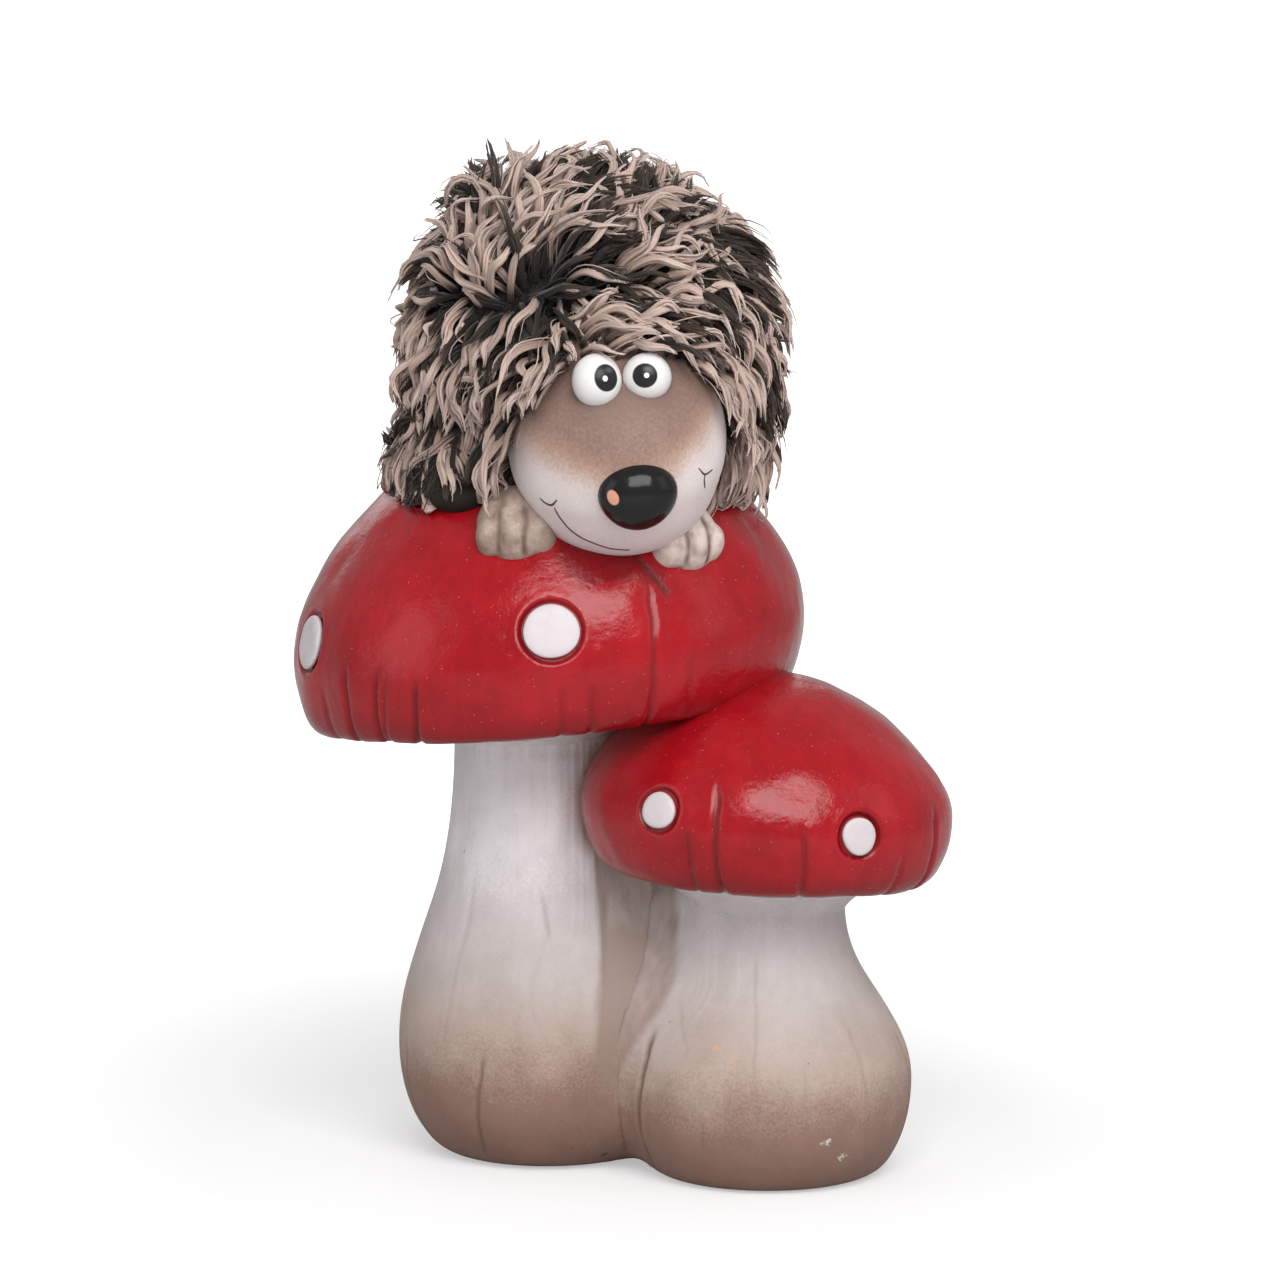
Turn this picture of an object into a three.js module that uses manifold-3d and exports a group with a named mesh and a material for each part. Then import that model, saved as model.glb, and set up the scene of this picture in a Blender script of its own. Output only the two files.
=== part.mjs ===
// Hedgehog figurine: two toadstools grown into each other, and a hedgehog lying on the larger one.
// The castings are hollow earthenware joined with slip; the hedgehog wears a glued-on plush coat.
// Millimetres, +Z up, the face looks towards -Y. The origin is the middle of the outline, on the floor.

import * as THREE from "three";
import { mergeVertices } from "three/addons/utils/BufferGeometryUtils.js";
import Module from "manifold-3d";

const wasm = await Module();
wasm.setup();

// Shared by all the pieces
const castWall = 5; // wall that slip casting leaves
const luteGap = 0.3; // line of slip or glue between two pieces
const drainRadius = 11; // hole in each foot that the slip ran out of
const turnSteps = 30; // facets around a stem or a cap
const ballSteps = 20; // facets around the body and the head
const beadSteps = 14; // facets around the small pieces
const toeSteps = 10;

// Large toadstool, its stem on the Z axis
const largeFootRadius = 22;
const largeBellyRadius = 35.7;
const largeBellyHeight = 25;
const largeNeckRadius = 22.5;
const largeRimHeight = 109.3; // middle of the cap's rim above the floor
const largeRimRadius = 55;
const largeCapRadius = 60.9;
const largeCapBulge = 13.5; // height of the widest ring above the rim
const largeCapHeight = 67;
const largeCapShift = 0.4; // the cap sits off the stem's axis
const largeCapTilt = -4.7; // degrees about Y, right side up
const largeCapLean = 0.085; // the dome leans back over its tilted rim, sideways per height
const largeSpotRadius = 6.3;
const largeSpots = [
  { azimuth: -88.5, rise: 0.14 },
  { azimuth: -158, rise: 0.1 },
  { azimuth: 122, rise: 0.2 },
  { azimuth: 48, rise: 0.14 },
];

// Small toadstool, in front and to the right
const smallX = 51.8;
const smallY = -22.7;
const smallFootRadius = 24;
const smallBellyRadius = 34.6;
const smallBellyHeight = 21.4;
const smallNeckRadius = 19;
const smallRimHeight = 71.9;
const smallRimRadius = 35.5;
const smallCapRadius = 43.7;
const smallCapBulge = 14.2;
const smallCapHeight = 46;
const smallCapTilt = 2.6; // degrees about Y, right side down
const smallCapLean = -0.06;
const smallSpotRadius = 4.3;
const smallSpots = [
  { azimuth: -126, rise: 0.1 },
  { azimuth: -62, rise: 0.02 },
  { azimuth: 38, rise: 0.12 },
  { azimuth: 92, rise: 0.2 },
];

// Shared by both toadstools
const undersideDepth = 9; // from the rim down to the neck
const undersideTuck = 0.5; // the underside starts this far inside the neck
const undersideSag = 1; // and bows this far below its lip
const lipHeight = 1.6; // pale edge that shows below the red rim
const lipInset = 1.8;
const seatMargin = 1.4; // width of the ring around a spot
const seatDepth = 1.1;
const spotCrown = 1.5; // height of a spot's middle above its seat
const webShare = 0.55; // middle of the clay web between the stems, from the large stem's axis
const webFootRadius = 21;
const webTopRadius = 7;

// Hedgehog
const hedgehogX = 9.5;
const hedgehogY = 2;
const hedgehogTurn = 15; // degrees, towards the right
const bodyRise = 8.5; // middle of the body above the cap's top
const bodyWidth = 76;
const bodyLength = 86;
const bodyHeight = 85;
const headRadius = 25;
const headReach = 30; // from the widest ring to the tip of the snout
const headAhead = 43; // middle of the head in front of the body's middle
const headDrop = 9;
const headAside = -4; // towards the left, in the hedgehog's own frame
const headTurn = -5; // degrees, added to the hedgehog's turn
const headNod = 18; // degrees, snout down
const headRoll = 7; // degrees, right cheek up
const eyeRadius = 5.6;
const eyeHeight = 20.3; // above the snout's axis
const noseWidth = 17.6;
const noseHeight = 16;
const noseDepth = 13;
const noseDrop = 2.6;
const pawWidth = 19;
const pawLength = 20;
const pawThickness = 13;
const pawTurn = -0.2; // degrees, added to the hedgehog's turn
const pawSpread = 23.1; // degrees to each side
const leftPawRise = 0.465;
const rightPawRise = 0.38;

// Plush coat
const clothThickness = 1.5;
const hemLift = 4; // the cloth ends this far above the cap
const pileDepth = 7; // closed part of the pile
const tuftHeight = 5;
const tuftLean = 6;
const tuftRows = 6; // tufts along one edge of the triangle grid
const whorlX = -16; // the pile spreads from this point above the brow
const whorlY = -46;
const whorlZ = 22;

// Surface colours
const glazeRed = new THREE.MeshStandardMaterial({ color: 0xb0161e, roughness: 0.15, metalness: 0 });
const stalkCream = new THREE.MeshStandardMaterial({ color: 0xd6cdc6, roughness: 0.75, metalness: 0 });
const spotWhite = new THREE.MeshStandardMaterial({ color: 0xe6e2df, roughness: 0.4, metalness: 0 });
const bodyBlack = new THREE.MeshStandardMaterial({ color: 0x221c19, roughness: 0.6, metalness: 0 });
const faceBrown = new THREE.MeshStandardMaterial({ color: 0xb59a8c, roughness: 0.7, metalness: 0 });
const eyeWhite = new THREE.MeshStandardMaterial({ color: 0xebe8e6, roughness: 0.3, metalness: 0 });
const noseBlack = new THREE.MeshStandardMaterial({ color: 0x19191b, roughness: 0.12, metalness: 0 });
const clothBrown = new THREE.MeshStandardMaterial({ color: 0x3a2f2a, roughness: 0.95, metalness: 0 });
const pileBeige = new THREE.MeshStandardMaterial({ color: 0xb0937f, roughness: 0.95, metalness: 0 });

// A point of a turned outline, from the axis and above the floor
function spot2(radius, height) {
  return new THREE.Vector2(radius, height);
}

// A bowed line between two outline points
function bow(from, pullFrom, pullTo, to) {
  return new THREE.CubicBezierCurve(from, pullFrom, pullTo, to);
}

// A closed outline turned about the Z axis
function turned(outline, steps = turnSteps) {
  const geometry = new THREE.LatheGeometry(outline, steps);
  geometry.rotateX(Math.PI / 2);
  return geometry;
}

// A ball stretched to three half sizes
function ball(halfX, halfY, halfZ, steps = beadSteps) {
  const geometry = new THREE.SphereGeometry(1, steps, Math.round(steps * 0.6));
  geometry.rotateX(Math.PI / 2);
  geometry.scale(halfX, halfY, halfZ);
  return geometry;
}

// A nested frame for the pieces that move together
function frameIn(parent, x, y, z) {
  const frame = new THREE.Group();
  frame.position.set(x, y, z);
  parent.add(frame);
  return frame;
}

// A closed surface of one frame as a solid in the figurine's frame
function solidOf(geometry, frame) {
  frame.updateWorldMatrix(true, false);
  const placed = geometry.clone().applyMatrix4(frame.matrixWorld);
  placed.deleteAttribute("normal");
  placed.deleteAttribute("uv");
  const welded = mergeVertices(placed, 1e-4);
  const corners = welded.index.array;
  const faces = [];
  for (let i = 0; i < corners.length; i += 3) {
    const face = [corners[i], corners[i + 1], corners[i + 2]];
    if (new Set(face).size === 3) faces.push(...face);
  }
  const vertProperties = new Float32Array(welded.attributes.position.array);
  return new wasm.Manifold(new wasm.Mesh({ numProp: 3, vertProperties, triVerts: new Uint32Array(faces) }));
}

// The main body of a trimmed solid, without the snips that fall off
function mainBody(solid) {
  const bodies = solid.decompose();
  bodies.sort((a, b) => b.volume() - a.volume());
  return bodies[0];
}

// One finished piece, hung into its frame
function addPiece(name, frame, material, solid) {
  const mesh = solid.getMesh();
  const geometry = new THREE.BufferGeometry();
  geometry.setAttribute("position", new THREE.BufferAttribute(new Float32Array(mesh.vertProperties), 3));
  geometry.setIndex(new THREE.BufferAttribute(new Uint32Array(mesh.triVerts), 1));
  geometry.applyMatrix4(frame.matrixWorld.clone().invert());
  geometry.computeVertexNormals();
  const piece = new THREE.Mesh(geometry, material);
  piece.name = name;
  frame.add(piece);
}

// Outline of a stalk from its foot to the neck; the wall and the hollow share it
function stalkOutline(size, inset, floor, footSteps, shoulderSteps) {
  const belly = size.bellyRadius - inset;
  const neck = size.neckRadius - inset;
  const top = size.rimHeight - undersideDepth;
  const climb = top - size.bellyHeight;
  const round = 0.55;
  const foot = bow(
    spot2(size.footRadius, floor),
    spot2(size.footRadius + (belly - size.footRadius) * round, floor),
    spot2(belly, size.bellyHeight - (size.bellyHeight - floor) * round),
    spot2(belly, size.bellyHeight),
  );
  const shoulder = bow(
    spot2(belly, size.bellyHeight),
    spot2(belly, size.bellyHeight + climb * size.shoulderPull),
    spot2(neck, size.bellyHeight + climb * size.neckPull),
    spot2(neck, top),
  );
  return [...foot.getPoints(footSteps), ...shoulder.getPoints(shoulderSteps).slice(1)];
}

// Stalk with the pale underside on top, closed inside; grown makes the cutter for its neighbours
function stalkSolid(size, grown) {
  const outline = stalkOutline(size, -grown, 0, 4, 6);
  const columnTop = size.rimHeight - undersideDepth * 0.45;
  const neck = size.neckRadius + grown;
  const column = turned([spot2(0, 0), ...outline, spot2(neck, columnTop), spot2(0, columnTop)]);
  const lip = size.rimRadius - lipInset + grown;
  const lipBottom = -luteGap - lipHeight - grown;
  const hollowUnder = new THREE.QuadraticBezierCurve(
    spot2(neck - undersideTuck, -undersideDepth - grown),
    spot2(neck + (lip - neck) * 0.3, lipBottom - undersideSag),
    spot2(lip, lipBottom),
  );
  const underside = turned([
    spot2(0, -undersideDepth - grown),
    ...hollowUnder.getPoints(3),
    spot2(lip, -luteGap + grown),
    spot2(0, -luteGap + grown),
  ]);
  return solidOf(column, size.frame).add(solidOf(underside, size.capFrame));
}

// Web of clay that fills the narrow between the two stalks
function webSolid() {
  const top = small.rimHeight - undersideDepth * 0.45;
  const foot = small.bellyHeight;
  const outline = [spot2(0, foot), spot2(webFootRadius, foot), spot2(webTopRadius, top), spot2(0, top)];
  return solidOf(turned(outline, beadSteps), webFrame);
}

// What slip casting leaves empty in a stalk, out through its draining hole and up into the cap
function stalkHollow(size) {
  const outline = stalkOutline(size, castWall, castWall, 2, 4);
  const bore = size.neckRadius - castWall;
  const above = size.rimHeight + castWall;
  const hollow = turned([
    spot2(0, -castWall),
    spot2(drainRadius, -castWall),
    spot2(drainRadius, castWall),
    ...outline,
    spot2(bore, above),
    spot2(0, above),
  ]);
  return solidOf(hollow, size.frame);
}

// Upper curve of a cap from its widest ring to the top
function domeCurve(size, inset) {
  const radius = size.capRadius - inset;
  const top = size.capHeight - inset;
  const rise = top - size.bulge;
  return bow(
    spot2(radius, size.bulge),
    spot2(radius, size.bulge + rise * 0.42),
    spot2(radius * 0.54, top),
    spot2(0, top),
  );
}

// Rolled edge of a cap from its rim to the widest ring
function rimCurve(size, inset) {
  const rim = size.rimRadius - inset;
  const radius = size.capRadius - inset;
  return bow(
    spot2(rim, Math.min(inset, 0)),
    spot2(rim + (radius - rim) * 0.6, Math.min(inset, 0)),
    spot2(radius, size.bulge * 0.45),
    spot2(radius, size.bulge),
  );
}

// A turned cap leaning sideways over its rim
function leaning(geometry, size) {
  return geometry.applyMatrix4(new THREE.Matrix4().makeShear(0, 0, 0, 0, size.lean, 0));
}

// Filled dome of a cap; grown makes the cutter for its neighbours
function domeSolid(size, grown) {
  const rim = rimCurve(size, -grown).getPoints(3);
  const dome = domeCurve(size, -grown).getPoints(9);
  return solidOf(leaning(turned([spot2(0, -grown), ...rim, ...dome.slice(1)]), size), size.capFrame);
}

// Shell of a cap, open at its rim
function capShell(size) {
  const outside = [...rimCurve(size, 0).getPoints(3), ...domeCurve(size, 0).getPoints(9).slice(1)];
  const insideRim = rimCurve(size, castWall).getPoints(2);
  const insideDome = domeCurve(size, castWall).getPoints(5);
  const inside = [...insideRim, ...insideDome.slice(1)].reverse();
  return solidOf(leaning(turned([...inside, ...outside]), size), size.capFrame);
}

// Frame on a cap's surface: Z points out of it and Y points up the slope
function slopeFrame(size, azimuth, rise) {
  const curve = domeCurve(size, 0);
  const place = curve.getPoint(rise);
  const along = curve.getTangent(rise);
  const angle = THREE.MathUtils.degToRad(azimuth);
  const outX = Math.cos(angle);
  const outY = Math.sin(angle);
  const frame = frameIn(size.capFrame, place.x * outX + size.lean * place.y, place.x * outY, place.y);
  const outward = new THREE.Vector3(along.y * outX, along.y * outY, -along.x - size.lean * along.y * outX);
  const across = new THREE.Vector3(-outY, outX, 0);
  const uphill = new THREE.Vector3().crossVectors(outward.normalize(), across).normalize();
  across.crossVectors(uphill, outward);
  frame.setRotationFromMatrix(new THREE.Matrix4().makeBasis(across, uphill, outward));
  return frame;
}

// Round seat sunk into a cap for one spot
function spotSeat(size, frame) {
  const radius = size.spotRadius + seatMargin;
  const above = seatDepth + castWall;
  const outline = [spot2(0, -seatDepth), spot2(radius, -seatDepth), spot2(radius, above), spot2(0, above)];
  return solidOf(turned(outline, beadSteps), frame);
}

// White disc with a crowned face
function spotDisc(size, frame) {
  const floor = luteGap - seatDepth;
  const face = bow(
    spot2(size.spotRadius, floor + spotCrown * 0.45),
    spot2(size.spotRadius * 0.95, floor + spotCrown * 0.9),
    spot2(size.spotRadius * 0.6, floor + spotCrown),
    spot2(0, floor + spotCrown),
  );
  const outline = [spot2(0, floor), spot2(size.spotRadius, floor), ...face.getPoints(3)];
  return solidOf(turned(outline, beadSteps), frame);
}

// Body under the coat; grown makes the layers over it
function bodySolid(grown) {
  const form = ball(bodyWidth / 2 + grown, bodyLength / 2 + grown, bodyHeight / 2 + grown, ballSteps);
  return solidOf(form, hedgehog);
}

// Egg of the head with its tip at the snout
function headSolid(grown) {
  return solidOf(ball(headRadius + grown, headRadius + grown, headReach + grown, ballSteps), head);
}

function eyeSolid(frame, grown) {
  return solidOf(ball(eyeRadius + grown, eyeRadius + grown, eyeRadius + grown), frame);
}

function noseSolid(grown) {
  return solidOf(ball(noseWidth / 2 + grown, noseHeight / 2 + grown, noseDepth / 2 + grown), noseSeat);
}

// Paw of one sole and three toes that point down the slope
function pawSolid(frame, grown) {
  const sole = ball(pawWidth * 0.46 + grown, pawLength * 0.45 + grown, pawThickness * 0.5 + grown);
  sole.translate(0, pawLength * 0.1, 0);
  let paw = solidOf(sole, frame);
  for (const side of [-1, 0, 1]) {
    const toe = ball(pawWidth * 0.175 + grown, pawLength * 0.25 + grown, pawThickness * 0.4 + grown, toeSteps);
    toe.translate(side * pawWidth * 0.31, -pawLength * (0.28 - 0.06 * Math.abs(side)), pawThickness * 0.04);
    paw = paw.add(solidOf(toe, frame));
  }
  return paw;
}

// Pile drawn out into tufts that lean away from the whorl; every second grid point is a tip
function pileSurface() {
  const root = clothThickness + pileDepth;
  const half = new THREE.Vector3(bodyWidth / 2 + root, bodyLength / 2 + root, bodyHeight / 2 + root);
  const whorl = new THREE.Vector3(whorlX, whorlY, whorlZ);
  const grid = new THREE.IcosahedronGeometry(1, tuftRows * 2 - 1);
  const tips = new THREE.IcosahedronGeometry(1, tuftRows - 1).attributes.position;
  const places = grid.attributes.position;
  const way = new THREE.Vector3();
  const tip = new THREE.Vector3();
  for (let i = 0; i < places.count; i += 1) {
    way.fromBufferAttribute(places, i);
    const place = way.clone().multiply(half);
    const outward = way.clone().divide(half).normalize();
    let isTip = false;
    for (let k = 0; k < tips.count && !isTip; k += 1) {
      isTip = tip.fromBufferAttribute(tips, k).distanceToSquared(way) < 1e-6;
    }
    if (isTip) {
      const away = place.clone().sub(whorl);
      away.addScaledVector(outward, -away.dot(outward));
      place.addScaledVector(away.normalize(), tuftLean);
      place.addScaledVector(outward, tuftHeight);
    }
    places.setXYZ(i, place.x, place.y, place.z);
  }
  return grid;
}

// Frames of the figurine
const figurine = new THREE.Group();
figurine.name = "hedgehog_figurine";
const largeFrame = frameIn(figurine, 0, 0, 0);
const largeCapFrame = frameIn(largeFrame, largeCapShift, 0, largeRimHeight);
largeCapFrame.rotation.y = THREE.MathUtils.degToRad(largeCapTilt);
const smallFrame = frameIn(figurine, smallX, smallY, 0);
const smallCapFrame = frameIn(smallFrame, 0, 0, smallRimHeight);
smallCapFrame.rotation.y = THREE.MathUtils.degToRad(smallCapTilt);
const webFrame = frameIn(figurine, smallX * webShare, smallY * webShare, 0);
const bodyHeightUp = largeRimHeight + largeCapHeight + bodyRise;
const hedgehog = frameIn(figurine, hedgehogX, hedgehogY, bodyHeightUp);
hedgehog.rotation.z = THREE.MathUtils.degToRad(hedgehogTurn);
const head = frameIn(hedgehog, headAside, -headAhead, -headDrop);
const nod = Math.PI / 2 + THREE.MathUtils.degToRad(headNod);
head.rotation.set(nod, 0, THREE.MathUtils.degToRad(headTurn), "ZYX");
head.rotateZ(THREE.MathUtils.degToRad(headRoll));
const eyeSide = eyeRadius + luteGap / 2;
const eyeAhead = headReach * Math.sqrt(1 - (eyeSide ** 2 + eyeHeight ** 2) / headRadius ** 2);
const leftEyeSeat = frameIn(head, -eyeSide, eyeHeight, eyeAhead);
const rightEyeSeat = frameIn(head, eyeSide, eyeHeight, eyeAhead);
const noseSeat = frameIn(head, 0, -noseDrop, headReach - noseDepth * 0.12);

const large = {
  frame: largeFrame,
  capFrame: largeCapFrame,
  footRadius: largeFootRadius,
  bellyRadius: largeBellyRadius,
  bellyHeight: largeBellyHeight,
  neckRadius: largeNeckRadius,
  shoulderPull: 0.334,
  neckPull: 0.4,
  rimHeight: largeRimHeight,
  rimRadius: largeRimRadius,
  capRadius: largeCapRadius,
  bulge: largeCapBulge,
  lean: largeCapLean,
  capHeight: largeCapHeight,
  spotRadius: largeSpotRadius,
};
const small = {
  frame: smallFrame,
  capFrame: smallCapFrame,
  footRadius: smallFootRadius,
  bellyRadius: smallBellyRadius,
  bellyHeight: smallBellyHeight,
  neckRadius: smallNeckRadius,
  shoulderPull: 0.376,
  neckPull: 0.593,
  rimHeight: smallRimHeight,
  rimRadius: smallRimRadius,
  capRadius: smallCapRadius,
  bulge: smallCapBulge,
  lean: smallCapLean,
  capHeight: smallCapHeight,
  spotRadius: smallSpotRadius,
};

// Cutters that leave the joint line around the pieces that stand first
const largeStalkRoom = stalkSolid(large, luteGap);
const largeDomeRoom = domeSolid(large, luteGap);
const largeRoom = largeStalkRoom.add(largeDomeRoom);

// Toadstools
addPiece("large_stem", largeFrame, stalkCream, stalkSolid(large, 0).subtract(stalkHollow(large)));
const smallStalk = stalkSolid(small, 0).add(webSolid()).subtract(stalkHollow(small));
addPiece("small_stem", smallFrame, stalkCream, smallStalk.subtract(largeRoom));

function addCap(name, size, spots, shell) {
  let cap = shell;
  spots.forEach((spot, index) => {
    const seat = slopeFrame(size, spot.azimuth, spot.rise);
    cap = cap.subtract(spotSeat(size, seat));
    addPiece(`${name}_spot_${index + 1}`, seat, spotWhite, spotDisc(size, seat));
  });
  addPiece(name, size.capFrame, glazeRed, cap);
}

addCap("large_cap", large, largeSpots, capShell(large));
addCap("small_cap", small, smallSpots, capShell(small).subtract(largeRoom));

// Hedgehog on the large cap
addPiece("hedgehog_body", hedgehog, bodyBlack, bodySolid(0).subtract(largeDomeRoom));
const bodyRoom = bodySolid(luteGap);
let face = headSolid(0).subtract(bodyRoom).subtract(largeDomeRoom);
face = face.subtract(eyeSolid(leftEyeSeat, luteGap)).subtract(eyeSolid(rightEyeSeat, luteGap));
addPiece("hedgehog_head", head, faceBrown, face.subtract(noseSolid(luteGap)));
addPiece("left_eye", leftEyeSeat, eyeWhite, eyeSolid(leftEyeSeat, 0));
addPiece("right_eye", rightEyeSeat, eyeWhite, eyeSolid(rightEyeSeat, 0));
addPiece("nose", noseSeat, noseBlack, noseSolid(0));

const frontAzimuth = hedgehogTurn + pawTurn - 90;
const leftPawSeat = slopeFrame(large, frontAzimuth - pawSpread, leftPawRise);
const rightPawSeat = slopeFrame(large, frontAzimuth + pawSpread, rightPawRise);
const pawCutter = largeDomeRoom.add(bodyRoom).add(headSolid(luteGap));
addPiece("left_paw", leftPawSeat, faceBrown, pawSolid(leftPawSeat, 0).subtract(pawCutter));
addPiece("right_paw", rightPawSeat, faceBrown, pawSolid(rightPawSeat, 0).subtract(pawCutter));

// Plush coat around the head and the paws
const pawRoom = pawSolid(leftPawSeat, luteGap).add(pawSolid(rightPawSeat, luteGap));
const eyeRoom = eyeSolid(leftEyeSeat, luteGap).add(eyeSolid(rightEyeSeat, luteGap));
const faceRoom = headSolid(luteGap).add(eyeRoom).add(pawRoom);
const cloth = bodySolid(luteGap + clothThickness).subtract(bodyRoom).subtract(domeSolid(large, hemLift));
addPiece("plush_backing", hedgehog, clothBrown, cloth.subtract(faceRoom));
const pile = solidOf(pileSurface(), hedgehog).subtract(bodySolid(luteGap * 2 + clothThickness));
addPiece("plush_pile", hedgehog, pileBeige, mainBody(pile.subtract(largeDomeRoom).subtract(faceRoom)));

// Origin in the middle of the outline, on the floor
const outline = new THREE.Box3().setFromObject(figurine);
const middle = outline.getCenter(new THREE.Vector3());
figurine.position.set(-middle.x, -middle.y, -outline.min.z);
const root = new THREE.Group();
root.name = "figurine_on_floor";
root.add(figurine);

export default root;
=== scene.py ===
import math
import bpy
import numpy as np
from mathutils import Matrix, Vector


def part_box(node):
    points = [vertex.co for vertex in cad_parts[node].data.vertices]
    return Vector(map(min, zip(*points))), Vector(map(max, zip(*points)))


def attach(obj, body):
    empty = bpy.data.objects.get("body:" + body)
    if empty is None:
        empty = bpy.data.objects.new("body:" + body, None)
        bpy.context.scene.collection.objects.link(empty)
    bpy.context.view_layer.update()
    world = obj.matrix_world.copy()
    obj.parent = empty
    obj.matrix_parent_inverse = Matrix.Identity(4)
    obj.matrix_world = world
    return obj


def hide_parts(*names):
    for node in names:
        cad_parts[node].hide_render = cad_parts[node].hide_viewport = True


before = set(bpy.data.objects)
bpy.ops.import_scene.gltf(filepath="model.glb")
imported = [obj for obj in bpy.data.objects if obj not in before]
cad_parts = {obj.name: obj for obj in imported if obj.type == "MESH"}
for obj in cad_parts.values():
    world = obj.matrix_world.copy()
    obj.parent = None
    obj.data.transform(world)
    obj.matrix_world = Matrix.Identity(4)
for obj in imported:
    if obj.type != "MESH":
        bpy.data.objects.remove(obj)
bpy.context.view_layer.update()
scene = bpy.context.scene
scene.view_settings.view_transform = 'Standard'

# Pieces are shaped in millimetres about the large stem's axis, and settled into the frame in metres
mm = 0.001
stemLow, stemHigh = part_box("large_stem")
capShift, tiltShift = 0.4, 0.095
axisX = (stemLow[0] + stemHigh[0]) / 2 - (capShift + tiltShift) * mm
axisY = (stemLow[1] + stemHigh[1]) / 2
print("large stem axis at", round(axisX, 5), round(axisY, 5))


# Working with pieces
def link(name, data):
    piece = bpy.data.objects.new(name, data)
    scene.collection.objects.link(piece)
    return piece


def newPiece(name, points, edges, faces):
    mesh = bpy.data.meshes.new(name)
    mesh.from_pydata(points, edges, faces)
    return link(name, mesh)


def pick(*pieces):
    bpy.ops.object.select_all(action='DESELECT')
    for piece in pieces:
        piece.select_set(True)
    bpy.context.view_layer.objects.active = pieces[0]


def joined(*pieces):
    pick(*pieces)
    bpy.ops.object.join()
    return pieces[0]


def modify(piece, kind, **settings):
    pick(piece)
    bpy.ops.object.modifier_add(type=kind)
    modifier = piece.modifiers[-1]
    for name, value in settings.items():
        setattr(modifier, name, value)
    bpy.ops.object.modifier_apply(modifier=modifier.name)


def inEdit(piece, *steps):
    # mesh operators with their options
    pick(piece)
    bpy.ops.object.mode_set(mode='EDIT')
    for operator, options in steps:
        operator(**options)
    bpy.ops.object.mode_set(mode='OBJECT')


takeAll = (bpy.ops.mesh.select_all, {"action": 'SELECT'})
takeNone = (bpy.ops.mesh.select_all, {"action": 'DESELECT'})
faceOutward = (bpy.ops.mesh.normals_make_consistent, {"inside": False})
mergeReach = 0.002


def spin(name, outline, steps):
    edges = [(i, i + 1) for i in range(len(outline) - 1)]
    piece = newPiece(name, [(r, 0, h) for r, h in outline], edges, [])
    modify(piece, 'SCREW', axis='Z', angle=math.tau, steps=steps, render_steps=steps,
           use_merge_vertices=True, merge_threshold=mergeReach)
    inEdit(piece, takeAll, (bpy.ops.mesh.remove_doubles, {"threshold": mergeReach}), faceOutward)
    return piece


def place(piece, matrix):
    pick(piece)
    piece.matrix_world = matrix
    bpy.ops.object.transform_apply(location=True, rotation=True, scale=True)


def ball(name, half, segments, rings):
    bpy.ops.mesh.primitive_uv_sphere_add(segments=segments, ring_count=rings, radius=1)
    plain = bpy.context.object
    # Blender lists the faces in another order each run, so they are sorted
    corners = [tuple(face.vertices) for face in plain.data.polygons]
    faces = sorted(min(face[i:] + face[:i] for i in range(len(face))) for face in corners)
    piece = newPiece(name, readPoints(plain).tolist(), [], faces)
    bpy.data.objects.remove(plain)
    place(piece, Matrix.Diagonal((*half, 1)))
    return piece


def tube(name, path, across, upright, sides):
    # closed tube round a path, with its half sizes as vectors
    turns = np.arange(sides) * math.tau / sides
    rings = (path[:, None, :] + np.cos(turns)[None, :, None] * across[:, None, :]
             + np.sin(turns)[None, :, None] * upright[:, None, :])
    last = (len(path) - 1) * sides
    faces = [(r + s, r + (s + 1) % sides, r + sides + (s + 1) % sides, r + sides + s)
             for r in range(0, last, sides) for s in range(sides)]
    faces += [tuple(range(sides))[::-1], tuple(range(last, last + sides))]
    piece = newPiece(name, rings.reshape(-1, 3).tolist(), [], faces)
    inEdit(piece, takeAll, faceOutward)
    return piece


def readPoints(piece, what="co"):
    values = np.empty(len(piece.data.vertices) * 3)
    piece.data.vertices.foreach_get(what, values)
    return values.reshape(-1, 3)


def writePoints(piece, points):
    piece.data.vertices.foreach_set("co", np.ascontiguousarray(points).ravel())
    piece.data.update()


def pushOutward(piece, points, push):
    writePoints(piece, points + readPoints(piece, "normal") * push[:, None])


def paint(piece, **layers):
    for name, values in layers.items():
        layer = piece.data.attributes.new(name, 'FLOAT', 'POINT')
        layer.data.foreach_set("value", np.ascontiguousarray(values, dtype=np.float32))


def settle(piece, slot, material, *nodes):
    writePoints(piece, readPoints(piece) * mm + (axisX, axisY, 0))
    pick(piece)
    bpy.ops.object.shade_smooth()
    piece.data.materials.clear()
    piece.data.materials.append(material)
    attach(piece, "root")
    if nodes:
        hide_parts(*nodes)


# Sums on points
def fade(low, high, value):
    t = np.clip((value - low) / (high - low), 0, 1)
    return t * t * (3 - 2 * t)


def bell(value, width):
    return np.exp(-(value / width) ** 2)


def bow(t, *corners):
    a, b, c, d = np.array(corners, float)
    t = np.reshape(t, (-1, 1))
    return a * (1 - t) ** 3 + 3 * b * t * (1 - t) ** 2 + 3 * c * t * t * (1 - t) + d * t ** 3


def wander(points, scale, seed):
    # smooth random values from -1 to 1 on a grid of the given fineness
    q = np.asarray(points) * scale + np.array((3.7, 1.9, 5.3)) * seed
    cell = np.floor(q).astype(np.int64)
    part = q - cell
    part = part * part * (3 - 2 * part)
    total = np.zeros(len(q))
    for corner in range(8):
        step = np.array((corner & 1, corner >> 1 & 1, corner >> 2 & 1))
        mixed = (cell + step) @ np.array((73856093, 19349663, 83492791)) + seed * 2654435
        mixed = (mixed ^ (mixed >> 13)) * 1274126177
        value = ((mixed ^ (mixed >> 16)) & 65535) / 32767.5 - 1
        total += value * np.prod(np.where(step, part, 1 - part), axis=1)
    return total


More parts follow.
